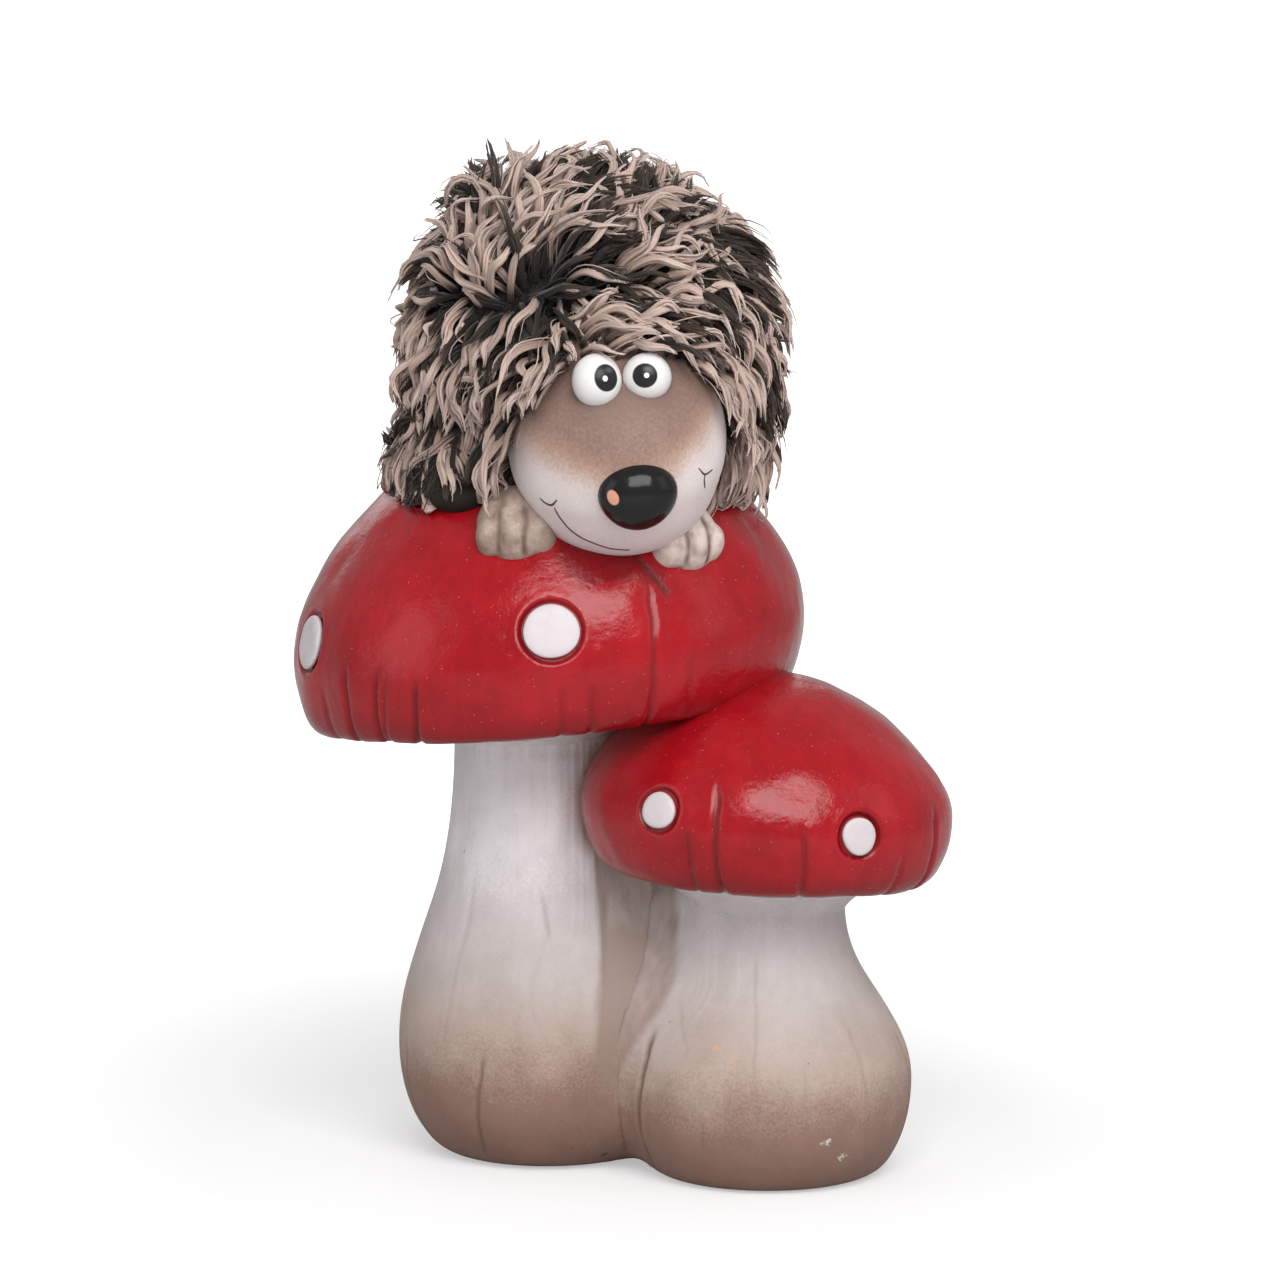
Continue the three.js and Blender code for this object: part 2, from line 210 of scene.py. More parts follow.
def wanderWay(points, scale, seed):
    return np.stack([wander(points, scale, seed + shift) for shift in (0, 101, 202)], axis=1)


def uneven(points, *layers):
    return sum(wander(points, scale, seed) * much for scale, seed, much in layers)


def lengthOf(vectors):
    return np.linalg.norm(vectors, axis=-1)


def normalised(vectors):
    return vectors / np.maximum(lengthOf(vectors), 1e-9)[..., None]


def offAxis(points):
    return np.hypot(points[:, 0], points[:, 1])


def turnOf(points):
    return np.degrees(np.arctan2(points[:, 1], points[:, 0]))


def moved(points, matrix):
    table = np.array(matrix)
    return points @ table[:3, :3].T + table[:3, 3]


def turned(degrees, axis):
    return Matrix.Rotation(math.radians(degrees), 4, axis)


# Camera and light: place and size of each lamp in metres, watts, and whether the glaze mirrors it
view = {"target": (22.1, 0, 122.5), "distance": 1300, "elevation": 8, "lens": 153.9, "sensor": 36}
viewRise = math.radians(view["elevation"])
lamps = {
    "keyBox": ((0.16, -0.76, 0.72), (0.74, 0.56), 8.3, True),
    "leftBox": ((-1.3, -0.5, 0.5), (0.8, 1.2), 2.8, True),
    "rightBox": ((1.15, -0.35, 0.62), (0.6, 0.9), 1.1, True),
    "frontBox": ((0.5, -1.4, 0.16), (1.2, 0.6), 3.5, False),
    "backBox": ((-0.25, 1.3, 0.7), (1.0, 0.8), 2.4, True),
}
lampTarget, worldStrength = Vector((0, 0, 0.12)), 0.43


def seenFromFront(points):
    up = (points[:, 2] - view["target"][2]) * math.cos(viewRise) + points[:, 1] * math.sin(viewRise)
    return np.column_stack([points[:, 0], up])


def aimed(name, data, location, target):
    thing = link(name, data)
    thing.location = location
    thing.rotation_euler = (target - location).to_track_quat('-Z', 'Y').to_euler()
    return thing


def addCamera():
    target = Vector(view["target"]) * mm + Vector((axisX, axisY, 0))
    away = Vector((0, -math.cos(viewRise), math.sin(viewRise))) * view["distance"] * mm
    lens = bpy.data.cameras.new("photoCamera")
    lens.lens, lens.sensor_width = view["lens"], view["sensor"]
    scene.camera = aimed("photoCamera", lens, target + away, target)


def addLamps():
    for name, (location, size, watts, mirrored) in lamps.items():
        light = bpy.data.lights.new(name, 'AREA')
        light.shape = 'RECTANGLE'
        light.size, light.size_y = size
        light.energy = watts
        aimed(name, light, Vector(location), lampTarget).visible_glossy = mirrored
    scene.world = bpy.data.worlds.new("studio")
    scene.world.use_nodes = True
    sky = scene.world.node_tree.nodes["Background"]
    sky.inputs["Color"].default_value = (1, 1, 1, 1)
    sky.inputs["Strength"].default_value = worldStrength


# Materials
def socketOf(sockets, key):
    return sockets[key] if isinstance(key, int) else next(s for s in sockets if s.name == key and s.enabled)


class Wire:
    # an output of a node, which can be added to and multiplied
    def __init__(self, look, socket):
        self.look, self.socket = look, socket

    def calc(self, operation, *others):
        return self.look.node("Math", 0, dict(enumerate((self, *others))), operation=operation)

    def __add__(self, other):
        return self.calc('ADD', other)

    def __mul__(self, other):
        return self.calc('MULTIPLY', other)


class Look:
    # a material with the nodes that colour it
    def __init__(self, name):
        self.material = bpy.data.materials.new(name)
        self.material.use_nodes = True
        self.tree = self.material.node_tree
        self.shader = self.tree.nodes["Principled BSDF"]

    def feed(self, node, values):
        for key, value in dict(values).items():
            slot = socketOf(node.inputs, key)
            if isinstance(value, Wire):
                self.tree.links.new(value.socket, slot)
            else:
                slot.default_value = (*value, 1) if slot.type == 'RGBA' else value

    def node(self, kind, output, values=(), **settings):
        node = self.tree.nodes.new("ShaderNode" + kind)
        for name, value in settings.items():
            setattr(node, name, value)
        self.feed(node, values)
        return Wire(self, socketOf(node.outputs, output))

    def coords(self):
        return self.node("TexCoord", "Object")

    def layer(self, name):
        return self.node("Attribute", "Fac", attribute_name=name)

    def noise(self, scale, detail=3, rough=0.55):
        values = {"Vector": self.coords(), "Scale": scale, "Detail": detail, "Roughness": rough}
        return self.node("TexNoise", "Fac", values)

    def streaks(self, scale, across, upwards):
        mapped = self.node("Mapping", "Vector", {"Vector": self.coords(), "Scale": (across, across, upwards)})
        return self.node("TexNoise", "Fac", {"Vector": mapped, "Scale": scale, "Detail": 3})

    def ramp(self, factor, *stops):
        wire = self.node("ValToRGB", "Color", {"Fac": factor})
        elements = wire.socket.node.color_ramp.elements
        while len(elements) < len(stops):
            elements.new(1)
        for element, (position, colour) in zip(elements, stops):
            element.position = position
            element.color = (*colour, 1) if isinstance(colour, tuple) else (colour, colour, colour, 1)
        return wire

    def mix(self, factor, first, second, blend='MIX'):
        values = {"Factor": factor, "A": first, "B": second}
        return self.node("Mix", "Result", values, data_type='RGBA', blend_type=blend)

    def finish(self, colour, rough, specular=0.5, bump=None):
        self.feed(self.shader, {"Base Color": colour, "Roughness": rough, "Specular IOR Level": specular})
        if bump:
            values = dict(zip(("Height", "Strength", "Distance"), bump))
            self.feed(self.shader, {"Normal": self.node("Bump", "Normal", values)})
        return self.material


# Floor: its glow grows with the distance, and a part of it is seen in the glaze
ground = {"size": 80, "drop": -0.0002, "grey": 0.56, "glow": ((0.10, 0.44), (0.45, 1.0)), "mirrored": 0.15}


def addFloor():
    bpy.ops.mesh.primitive_plane_add(size=ground["size"], location=(0, 0, ground["drop"]))
    floor = bpy.context.object
    floor.name = "floor"
    look = Look("paleFloor")
    reach = look.node("VectorMath", "Value", {0: look.coords()}, operation='LENGTH')
    seen = look.node("LightPath", "Is Glossy Ray") * ground["mirrored"]
    for ray in ("Is Camera Ray", "Is Transmission Ray"):
        seen = seen.calc('MAXIMUM', look.node("LightPath", ray))
    glow = look.ramp(reach, *ground["glow"]) * seen
    look.feed(look.shader, {"Emission Color": (1, 1, 1), "Emission Strength": glow})
    floor.data.materials.append(look.finish((ground["grey"],) * 3, 0.9, 0.0))


addCamera()
addLamps()
addFloor()
print("camera, lamps and floor ready")

# Toadstools. Creases and pleats: azimuth and height at both ends, width and depth, the pleats in the cap's own frame.
# Cuts, and painted shadows and smudges, as seen from the front: both ends, width and depth; place, half sizes and
# strength.
# Marks of wear: azimuth, height, half width in degrees and half height.
largeToadstool = {
    "name": "large", "place": (0, 0, 0), "foot": 22, "belly": 35.7, "bellyHeight": 25, "neck": 22.5,
    "rimHeight": 109.3, "rim": 55, "rimDrop": 1.7, "cap": 60.9, "bulge": 13.5, "capHeight": 67,
    "capShift": capShift, "tilt": -4.7, "lean": 0.085, "shoulder": 0.334, "throat": 0.4, "sprayShift": 0,
    "spot": 6.3, "spots": [(-88.5, 0.14), (-158, 0.1), (122, 0.2), (48, 0.14)],
    "creases": [
        (-114.8, 28, -121, 3, 0.9, 0.6), (-92, 66, -89, 57, 0.9, 0.25), (-58, 68, -71, 40, 1.3, 0.16),
        (-100, 42, -101, 12, 1.3, 0.08), (-130, 70, -133, 30, 1.3, 0.10), (170, 62, 166, 12, 1.1, 0.25),
        (128, 40, 124, 4, 1.0, 0.5), (92, 72, 95, 36, 1.2, 0.2), (60, 36, 55, 5, 1.0, 0.45),
        (-160, 28, -163, 4, 1.0, 0.35),
    ],
    "pleats": [
        (-138.5, 16, -140.5, -1, 0.8, 0.7), (-129, 15, -131.5, -1, 0.75, 0.8), (-126.5, 13, -129.5, -1, 0.6, 0.5),
        (-118.7, 13, -121, -1, 0.9, 0.9), (-86, 10, -86.5, -1, 0.8, 0.4), (-79.7, 10, -79, -1, 0.8, 0.45),
        (-65.4, 30, -66, -1, 0.75, 0.6), (-148, 9, -149, -1, 1.0, 0.4), (-57, 14, -56, 2, 1.2, 0.3),
        (-175, 15, -176, -1, 1.0, 0.7), (158, 16, 159, -1, 1.0, 0.8), (138, 14, 137, -1, 1.0, 0.8),
        (108, 15, 107, -1, 0.9, 0.7), (84, 30, 83, -1, 1.0, 0.9), (62, 14, 61, -1, 0.9, 0.7),
        (30, 15, 29, -1, 1.0, 0.8),
    ],
    "cuts": [(21.4, 18.6, 28.4, 10.9, 0.7, 0.2)],
    "shadowsAndSmudges": [(13, 19.5, 10.5, 8, 0.95), (24, 15.5, 4.5, 3, 0.7)],
    "scratch": [], "chip": [], "speck": [(-78.2, 6.5, 1.1, 0.9), (-142.2, 74.5, 1.4, 1.6), (-62, 3.5, 3.0, 1.4)],
}
smallToadstool = {
    "name": "small", "place": (51.8, -22.7, 0), "foot": 24, "belly": 34.6, "bellyHeight": 21.4, "neck": 19,
    "rimHeight": 71.9, "rim": 35.5, "rimDrop": 0.7, "cap": 43.7, "bulge": 14.2, "capHeight": 46,
    "capShift": 0, "tilt": 2.6, "lean": -0.06, "shoulder": 0.376, "throat": 0.593, "sprayShift": 3,
    "spot": 4.3, "spots": [(-126, 0.1), (-62, 0.02), (38, 0.12), (92, 0.2)],
    "creases": [
        (-145, 36, -156, 2.5, 1.0, 0.8), (-98, 54, -95, 20, 0.8, 0.13), (-138, 44, -127, 33, 0.9, 0.14),
        (-75.5, 31.5, -76.5, 22, 0.7, 0.12), (-117, 17.5, -118, 11, 0.7, 0.25), (-50, 40, -47, 8, 1.1, 0.12),
        (-12, 34, -10, 4, 1.0, 0.4), (28, 46, 32, 12, 1.1, 0.25), (66, 30, 63, 5, 1.0, 0.4),
        (104, 26, 108, 4, 1.0, 0.35),
    ],
    "pleats": [
        (-115.3, 14, -116.6, -1, 0.8, 0.5), (-106.6, 25, -106.8, -1, 0.9, 0.7), (-80.3, 17, -79.2, -1, 0.9, 0.6),
        (-28.5, 18, -31.5, -1, 1.0, 0.6), (-45, 9, -46, -1, 0.8, 0.35), (2, 15, 1, -1, 0.9, 0.6),
        (20, 14, 19, -1, 0.9, 0.6), (58, 17, 57, -1, 0.9, 0.7), (74, 14, 75, -1, 0.8, 0.6),
        (118, 15, 119, -1, 0.9, 0.6),
    ],
    "cuts": [], "shadowsAndSmudges": [],
    "scratch": [(-113, 34.6, 7, 1.6), (-105, 32.4, 4, 1.2)], "chip": [(-67, 13.0, 6, 2.2), (-59, 9.0, 5, 2.0)],
    "speck": [(-73.4, 31.7, 1.0, 0.8), (-139, 39, 1.0, 0.8)],
}
casting = {
    "underside": 9, "lip": 1.6, "drain": 11, "drainDepth": 30, "wall": 5, "seam": 0.3,
    "steps": {"stalk": 400, "underside": 160, "cap": 600}, "creaseWidth": 0.62, "pleatWidth": 0.95,
}
merge = {"lowReach": 12, "highReach": 32, "from": 20, "to": 48, "step": 0.25, "furthest": 24}
# brown spray on the small stalk's web and the large stalk's flank, and painted shade in the valley, along the seam and
# where the small cap touches the large stalk and its underside
spray = {
    "valley": 0.6, "valleyReach": 2.5,
    "web": 0.52, "webFrom": (2.4, 4.4), "seam": 0.36, "seamAt": 3.2, "seamWidth": 0.8,
    "edge": -71, "edgeShift": 8, "edgeHeights": (25, 65), "edgeSoft": (-4, 2), "back": (20, 40),
    "foot": (4, 24), "top": (80, 86), "flank": 0.56, "lower": 0.46, "lowerHeights": (48, 62),
    "line": 0.35, "lineShift": 0.5, "lineWidth": 1.3, "lineHeights": (36, 46),
    "touch": 0.7, "touchReach": 3.0, "capReach": 9.0, "capHeight": 96,
}


def stalkOutline(size):
    foot, belly, neck = size["foot"], size["belly"], size["neck"]
    height, top = size["bellyHeight"], size["rimHeight"] - casting["underside"]
    climb = top - height
    lower = bow(np.linspace(0, 1, 34), (foot, 0), (foot + (belly - foot) * 0.55, 0),
                (belly, height * 0.45), (belly, height))
    upper = bow(np.linspace(0, 1, 60), (belly, height), (belly, height + climb * size["shoulder"]),
                (neck, height + climb * size["throat"]), (neck, top))
    return np.vstack([lower, upper[1:]])


def domeCorners(size):
    cap, bulge, top = size["cap"], size["bulge"], size["capHeight"]
    return (cap, bulge), (cap, bulge + (top - bulge) * 0.42), (cap * 0.54, top), (0, top)


def domeOutline(size):
    rim, cap, bulge = size["rim"], size["cap"], size["bulge"]
    edge = bow(np.linspace(0, 1, 22), (rim, 0), (rim + (cap - rim) * 0.6, 0), (cap, bulge * 0.45), (cap, bulge))
    dome = bow(np.linspace(0, 1, 84), *domeCorners(size))
    return np.vstack([edge, dome[1:]]), dome


def capMatrix(size):
    x, y, _ = size["place"]
    return Matrix.Translation((x + size["capShift"], y, size["rimHeight"])) @ turned(size["tilt"], 'Y')


def slopeMatrix(size, azimuth, t):
    # a place on the dome by its azimuth and its share of the way up, with the way out of the dome as Z
    a, b, c, d = np.array(domeCorners(size), float)
    radius, height = bow(t, a, b, c, d)[0]
    along = (b - a) * (1 - t) ** 2 + 2 * (c - b) * t * (1 - t) + (d - c) * t * t
    along /= np.linalg.norm(along)
    outX, outY = math.cos(math.radians(azimuth)), math.sin(math.radians(azimuth))
    lean = size["lean"]
    outward = Vector((along[1] * outX, along[1] * outY, -along[0] - lean * along[1] * outX)).normalized()
    uphill = outward.cross(Vector((-outY, outX, 0))).normalized()
    matrix = Matrix((uphill.cross(outward), uphill, outward)).transposed().to_4x4()
    matrix.translation = (radius * outX + lean * height, radius * outY, height)
    return matrix


def stalkRadius(size, height):
    outline = stalkOutline(size)
    return np.interp(height, outline[:, 1], outline[:, 0])


def stalkGap(size, points):
    # about how far a point lies outside a stalk
    return offAxis(points - size["place"]) - stalkRadius(size, points[:, 2])


def inCap(size, points):
    local = moved(points, capMatrix(size).inverted())
    local[:, 0] -= size["lean"] * local[:, 2]
    return offAxis(local), local[:, 2]


def capGap(size, points):
    radius, height = inCap(size, points)
    outer = domeOutline(size)[0]
    aside = radius - np.interp(height, outer[:, 1], outer[:, 0])
    below = np.maximum(-height, 0)
    return np.where(below > 0, np.hypot(np.maximum(aside, 0), below), aside)


def creaseMask(azimuth, radius, height, lines, broad):
    total, sunk = np.zeros((2, len(azimuth)))
    for number, (startAz, startZ, endAz, endZ, width, depth) in enumerate(lines):
        along = np.clip((height - startZ) / (endZ - startZ), 0, 1)
        wobble = 0.45 * np.sin(height * 0.31 + number * 2.1) + 0.2 * np.sin(height * 0.9 + number)
        line = startAz + (endAz - startAz) * along + np.degrees(wobble * 0.5 / np.maximum(radius, 5))
        aside = (azimuth - line + 180) % 360 - 180
        low, high = sorted((startZ, endZ))
        window = fade(low - 2.5, low + 2, height) * (1 - fade(high - 3, high + 2.5, height))
        mask = bell(np.radians(aside) * radius, width * broad) * window
        total = np.maximum(total, mask * min(1, depth * 1.3))
        sunk += mask * depth
    return total, sunk


def wearMask(azimuth, height, marks):
    total = np.zeros_like(azimuth)
    for markAzimuth, markHeight, wide, tall in marks:
        total = np.maximum(total, bell(azimuth - markAzimuth, wide) * bell(height - markHeight, tall))
    return total


def growTogether(points, size, other):
    # both stalks swell outwards until they meet in one soft valley
    ways = points[:, :2] / np.maximum(offAxis(points), 1e-6)[:, None]
    grown = np.zeros(len(points))
    growing = np.ones(len(points), bool)
    share = fade(merge["from"], merge["to"], points[:, 2])
    reaches = merge["lowReach"] * (1 - share) + merge["highReach"] * share
    for step in np.arange(0, merge["furthest"], merge["step"]):
        index = np.flatnonzero(growing)
        tried = points[index] + size["place"]
        tried[:, :2] += ways[index] * step
        far, reach = stalkGap(other, tried), reaches[index]
        met = np.minimum(step, far) - np.maximum(reach - np.abs(step - far), 0) ** 2 / (4 * reach)
        grown[index] = step
        growing[index[(met >= 0) | (far < step - 1)]] = False
    return grown, ways * grown[:, None]


def stalkSprayAndShade(size, other, points, web):
    height = points[:, 2]
    # painted shade in the valley between the stalks, along the seam and under the small cap; brown spray on the web
    # and the flank
    valley = np.exp(-np.maximum(stalkGap(other, points), 0) / spray["valleyReach"]) * spray["valley"] * (web > 0)
    if size is smallToadstool:
        seam = spray["seam"] * bell(web - spray["seamAt"], spray["seamWidth"])
        return np.maximum(spray["web"] * fade(*spray["webFrom"], web) + seam, valley)
    azimuth = turnOf(points)
    edge = spray["edge"] + spray["edgeShift"] * fade(*spray["edgeHeights"], height)
    flank = fade(*spray["edgeSoft"], azimuth - edge) * (1 - fade(*spray["back"], azimuth))
    flank *= fade(*spray["foot"], height) * (1 - fade(*spray["top"], height))
    line = bell(azimuth - edge - spray["lineShift"], spray["lineWidth"]) * fade(*spray["lineHeights"], height)
    lower = 1 - fade(*spray["lowerHeights"], height)
    flank *= spray["flank"] + spray["lower"] * lower + spray["line"] * line
    reach = np.where(height > spray["capHeight"], spray["capReach"], spray["touchReach"])
    touch = np.exp(-np.maximum(capGap(smallToadstool, points), 0) / reach)
    return np.maximum.reduce([valley, flank, touch * spray["touch"]])


def makeUnderside(size):
    # pale underside of the cap, in the cap's tilt
    neck, lip = size["neck"] - 0.5, size["rim"] - casting["wall"] - 0.6
    deep, top = -casting["underside"], -casting["seam"]
    lipLow = top - casting["lip"]
    t = np.linspace(0, 1, 24)[:, None]
    under = (np.array((neck, deep)) * (1 - t) ** 2 + np.array((lip, lipLow)) * t ** 2
             + 2 * np.array((neck + (lip - neck) * 0.3, lipLow - 1)) * t * (1 - t))
    outline = [(0, deep), *under, (lip + 0.3, lipLow + 0.5), (lip, top), (0, top)]
    disc = spin("underside", outline, casting["steps"]["underside"])
    place(disc, capMatrix(size))
    return disc


def makeStalk(size, other, material):
    drain, depth = casting["drain"], casting["drainDepth"]
    hole = [(0, depth), (drain - 1, depth), (drain, depth - 1), (drain, 1), (drain + 0.6, 0.2), (drain + 1.4, 0)]
    top = size["rimHeight"] - casting["underside"] * 0.45
    outline = [*hole, *stalkOutline(size), (size["neck"], top), (0, top)]
    piece = spin(size["name"] + "Stalk", outline, casting["steps"]["stalk"])
    points = readPoints(piece)
    radius, height = offAxis(points), points[:, 2]
    outside = (radius > stalkRadius(size, height) - 0.5) & (radius > drain + 1.5)
    crease, sunk = creaseMask(turnOf(points), radius, height, size["creases"], casting["creaseWidth"])
    rough = uneven(points * (1, 1, 0.5), (0.05, 3, 0.6)) + uneven(points * (1, 1, 0.3), (0.16, 5, 0.22))
    grown, swell = growTogether(points, size, other)
    points[:, :2] += swell * outside[:, None]
    writePoints(piece, points)
    pushOutward(piece, points, (rough * fade(0, 6, height) - sunk) * outside)
    place(piece, Matrix.Translation(size["place"]))
    disc = makeUnderside(size)
    plain = np.zeros(len(disc.data.vertices))
    crease, web = (np.concatenate([values * outside, plain]) for values in (crease, grown))
    joined(piece, disc)
    points = readPoints(piece)
    azimuth, height = turnOf(points - size["place"]), points[:, 2]
    paint(piece, crease=crease, dust=stalkSprayAndShade(size, other, points, web), spray=(height + size["sprayShift"]) / 100)
    paint(piece, **{name: wearMask(azimuth, height, size[name]) for name in ("scratch", "chip", "speck")})
    settle(piece, "stalk", material, size["name"] + "_stem")


def stalkPaint():
    look = Look("stalkPaint")
    cloud, grain, nicks = look.noise(40), look.noise(1500, 2, 0.7), look.noise(900, 3, 0.7)
    # brown at the foot to off-white at the top; the top stop is painted lighter, as painted light where the cap shades
    # the stalk
    tone = look.ramp(
        cloud * 0.26 + look.layer("spray") + grain * 0.18,
        (0.22, (0.225, 0.124, 0.094)), (0.42, (0.285, 0.170, 0.134)), (0.54, (0.45, 0.342, 0.29)),
        (0.68, (0.48, 0.415, 0.396)), (0.86, (0.565, 0.517, 0.517)), (1.0, (0.77, 0.72, 0.737)))
    tone = look.mix(1.0, tone, look.ramp(look.streaks(260, 1.0, 0.07), (0.3, 0.95), (0.7, 1.0)), 'MULTIPLY')
    tone = look.mix(1.0, tone, look.ramp(look.noise(120, 4, 0.65), (0.35, 0.92), (0.65, 1.0)), 'MULTIPLY')
    streak = (look.streaks(420, 1.0, 0.05) + -0.5) * 0.5
    # brown spray, with painted shade in the valley, along the seam and under the small cap
    dust = look.layer("dust") + (grain + cloud) * 0.30 + streak
    tone = look.mix(look.ramp(dust, (0.36, 0.0), (1.0, 0.85)), tone, (0.28, 0.197, 0.162), 'DARKEN')
    tone = look.mix(look.layer("crease"), tone, (0.165, 0.108, 0.082))
    # scraped places
    for name, start, end, much, colour in (("scratch", 0.40, 0.52, 0.8, (0.62, 0.33, 0.20)),
                                           ("chip", 0.42, 0.50, 0.9, (0.60, 0.57, 0.55)),
                                           ("speck", 0.36, 0.46, 0.9, (0.05, 0.034, 0.027))):
        tone = look.mix(look.ramp(nicks * look.layer(name), (start, 0.0), (end, much)), tone, colour)
    return look.finish(tone, 0.6, 0.35, (look.noise(320, 4) + grain, 0.18, 0.0005))


stalkFinish = stalkPaint()
makeStalk(largeToadstool, smallToadstool, stalkFinish)
makeStalk(smallToadstool, largeToadstool, stalkFinish)
print("stalks ready")

# Caps. The seat of a spot, from the spot's edge outwards: ring, flat and a swelling of the glaze
seatShape = {
    "finer": 2.6, "ring": 0.8, "ringWidth": 0.5, "flat": (0.5, 1.6), "sink": 0.8,
    "swell": 2.2, "swellWidth": 0.8, "swellHeight": 0.16, "deep": 4,
}
bead = {"turns": (60, 300, 1.5), "up": (0.25, -0.35, 0.9), "thick": 0.85, "taper": 5, "sides": 10}


def cutShadowAndSmudge(size, points, seen, ahead):
    cut, shadowAndSmudge, sunk = np.zeros((3, len(points)))
    for startX, startUp, endX, endUp, width, depth in size["cuts"]:
        start, way = np.array((startX, startUp)), np.array((endX - startX, endUp - startUp))
        along = np.clip((seen - start) @ way / (way @ way), 0, 1)
        mask = bell(lengthOf(seen - start - along[:, None] * way), width) * ahead
        cut = np.maximum(cut, mask)
        sunk += mask * depth
    # painted shadow under the chin, and a smudge near the right paw
    for across, up, wide, tall, much in size["shadowsAndSmudges"]:
        far = lengthOf((seen - (across, up)) / (wide, tall)) + uneven(points, (0.28, 17, 0.14))
        shadowAndSmudge = np.maximum(shadowAndSmudge, much * (1 - fade(0.78, 1.0, far)) * ahead)
    return cut, shadowAndSmudge, sunk


def makeCap(size, other, material):
    wall, lean, spot = casting["wall"], size["lean"], size["spot"]
    outer, dome = domeOutline(size)
    inner = [(r * (1 - wall / size["cap"]), h - wall if h > size["bulge"] else h) for r, h in dome[::8]]
    inner = [(size["rim"] - wall, 0.4), *inner[:-1], (0, size["capHeight"] - wall)]
    piece = spin(size["name"] + "Cap", [*inner[::-1], *outer], casting["steps"]["cap"])
    seats = [slopeMatrix(size, *turnAndRise) for turnAndRise in size["spots"]]
    # finer faces where a spot is seated
    points = readPoints(piece)
    sheared = points + np.outer(points[:, 2], (lean, 0, 0))
    near = np.min([lengthOf(sheared - seat.translation) for seat in seats], axis=0) < spot + seatShape["finer"]
    inEdit(piece, takeNone)
    piece.data.vertices.foreach_set("select", near)
    for face in piece.data.polygons:
        face.select = all(near[i] for i in face.vertices)
    inEdit(piece, (bpy.ops.mesh.select_mode, {"type": 'FACE'}),
           (bpy.ops.mesh.subdivide, {"number_cuts": 2, "ngon": False}))
    points = readPoints(piece)
    radius, height = offAxis(points), points[:, 2]
    trueRadius = np.interp(height, outer[:, 1], outer[:, 0])
    outside = radius > trueRadius - 2.5
    # new points go back onto the round of the cap
    onSide = outside & (height < size["capHeight"] * 0.75)
    points[onSide, :2] *= (trueRadius[onSide] / radius[onSide])[:, None]
    writePoints(piece, points)
    crease, sunk = creaseMask(turnOf(points), trueRadius, height, size["pleats"], casting["pleatWidth"])
    rough = uneven(points, (0.035, 11, 1.1), (0.09, 12, 0.45), (0.25, 13, 0.10))
    sheared = points + np.outer(height, (lean, 0, 0))
    seen = seenFromFront(moved(sheared, capMatrix(size)))
    cut, shadowAndSmudge, cutSunk = cutShadowAndSmudge(size, points, seen, outside & (points[:, 1] < 0))
    ring, flat = np.zeros((2, len(points)))
    for seat in seats:
        inSeat = moved(sheared, seat.inverted())
        outwards, close = offAxis(inSeat) - spot, np.abs(inSeat[:, 2]) < seatShape["deep"]
        ring = np.maximum(ring, bell(outwards - seatShape["ring"], seatShape["ringWidth"]) * close)
        flat = np.maximum(flat, (1 - fade(*seatShape["flat"], outwards)) * close)
        rough = rough + seatShape["swellHeight"] * bell(outwards - seatShape["swell"], seatShape["swellWidth"]) * close
    push = rough * (1 - flat) - sunk - cutSunk - flat * seatShape["sink"]
    points += readPoints(piece, "normal") * (push * outside)[:, None]
    height -= size["rimDrop"] * (1 - fade(0, 7, height))
    points[:, 0] += lean * height
    writePoints(piece, points)
    paint(piece, crease=np.maximum.reduce([crease * 0.6, ring * 0.6, cut * 0.95]) * outside)
    place(piece, capMatrix(size))
    # painted shade: the glaze is darker along the rim, where the caps meet and in the shadow under the chin, with a
    # smudge near the right paw
    meeting = np.exp(-np.maximum(capGap(other, readPoints(piece)), 0) / 4.5)
    paint(piece, shade=np.maximum.reduce([0.55 * (1 - fade(-1, 7, height)), 0.7 * meeting, shadowAndSmudge]))
    if size is smallToadstool:
        joined(piece, makeBead())
    settle(piece, "red_glaze", material, size["name"] + "_cap")


def makeBead():
    # rough ridge where the small cap grew against the large one
    outer = domeOutline(smallToadstool)[0]
    places = np.linspace(0, len(outer) - 1, 500)
    radius, height = (np.interp(places, np.arange(len(outer)), column) for column in outer.T)
    path = []
    for azimuth in np.radians(np.arange(*bead["turns"])):
        across = radius * np.cos(azimuth) + smallToadstool["lean"] * height
        ring = moved(np.column_stack([across, radius * np.sin(azimuth), height]), capMatrix(smallToadstool))
        local = moved(ring, capMatrix(largeToadstool).inverted())
        inside = (capGap(largeToadstool, ring) < 0) & (local[:, 2] > -1)
        if inside.any():
            path.append(ring[np.flatnonzero(inside)[-1]])
    path = np.array(path)
    tangent = normalised(np.gradient(path, axis=0))
    across = normalised(np.cross(tangent, bead["up"]))
    thick = bead["thick"] + uneven(path, (0.5, 41, 0.45), (1.4, 42, 0.2))
    order = np.arange(len(path))
    thick = (thick * np.clip(np.minimum(order, order[::-1]) / bead["taper"], 0.05, 1))[:, None]
    return tube("bead", path, across * thick, np.cross(across, tangent) * thick, bead["sides"])


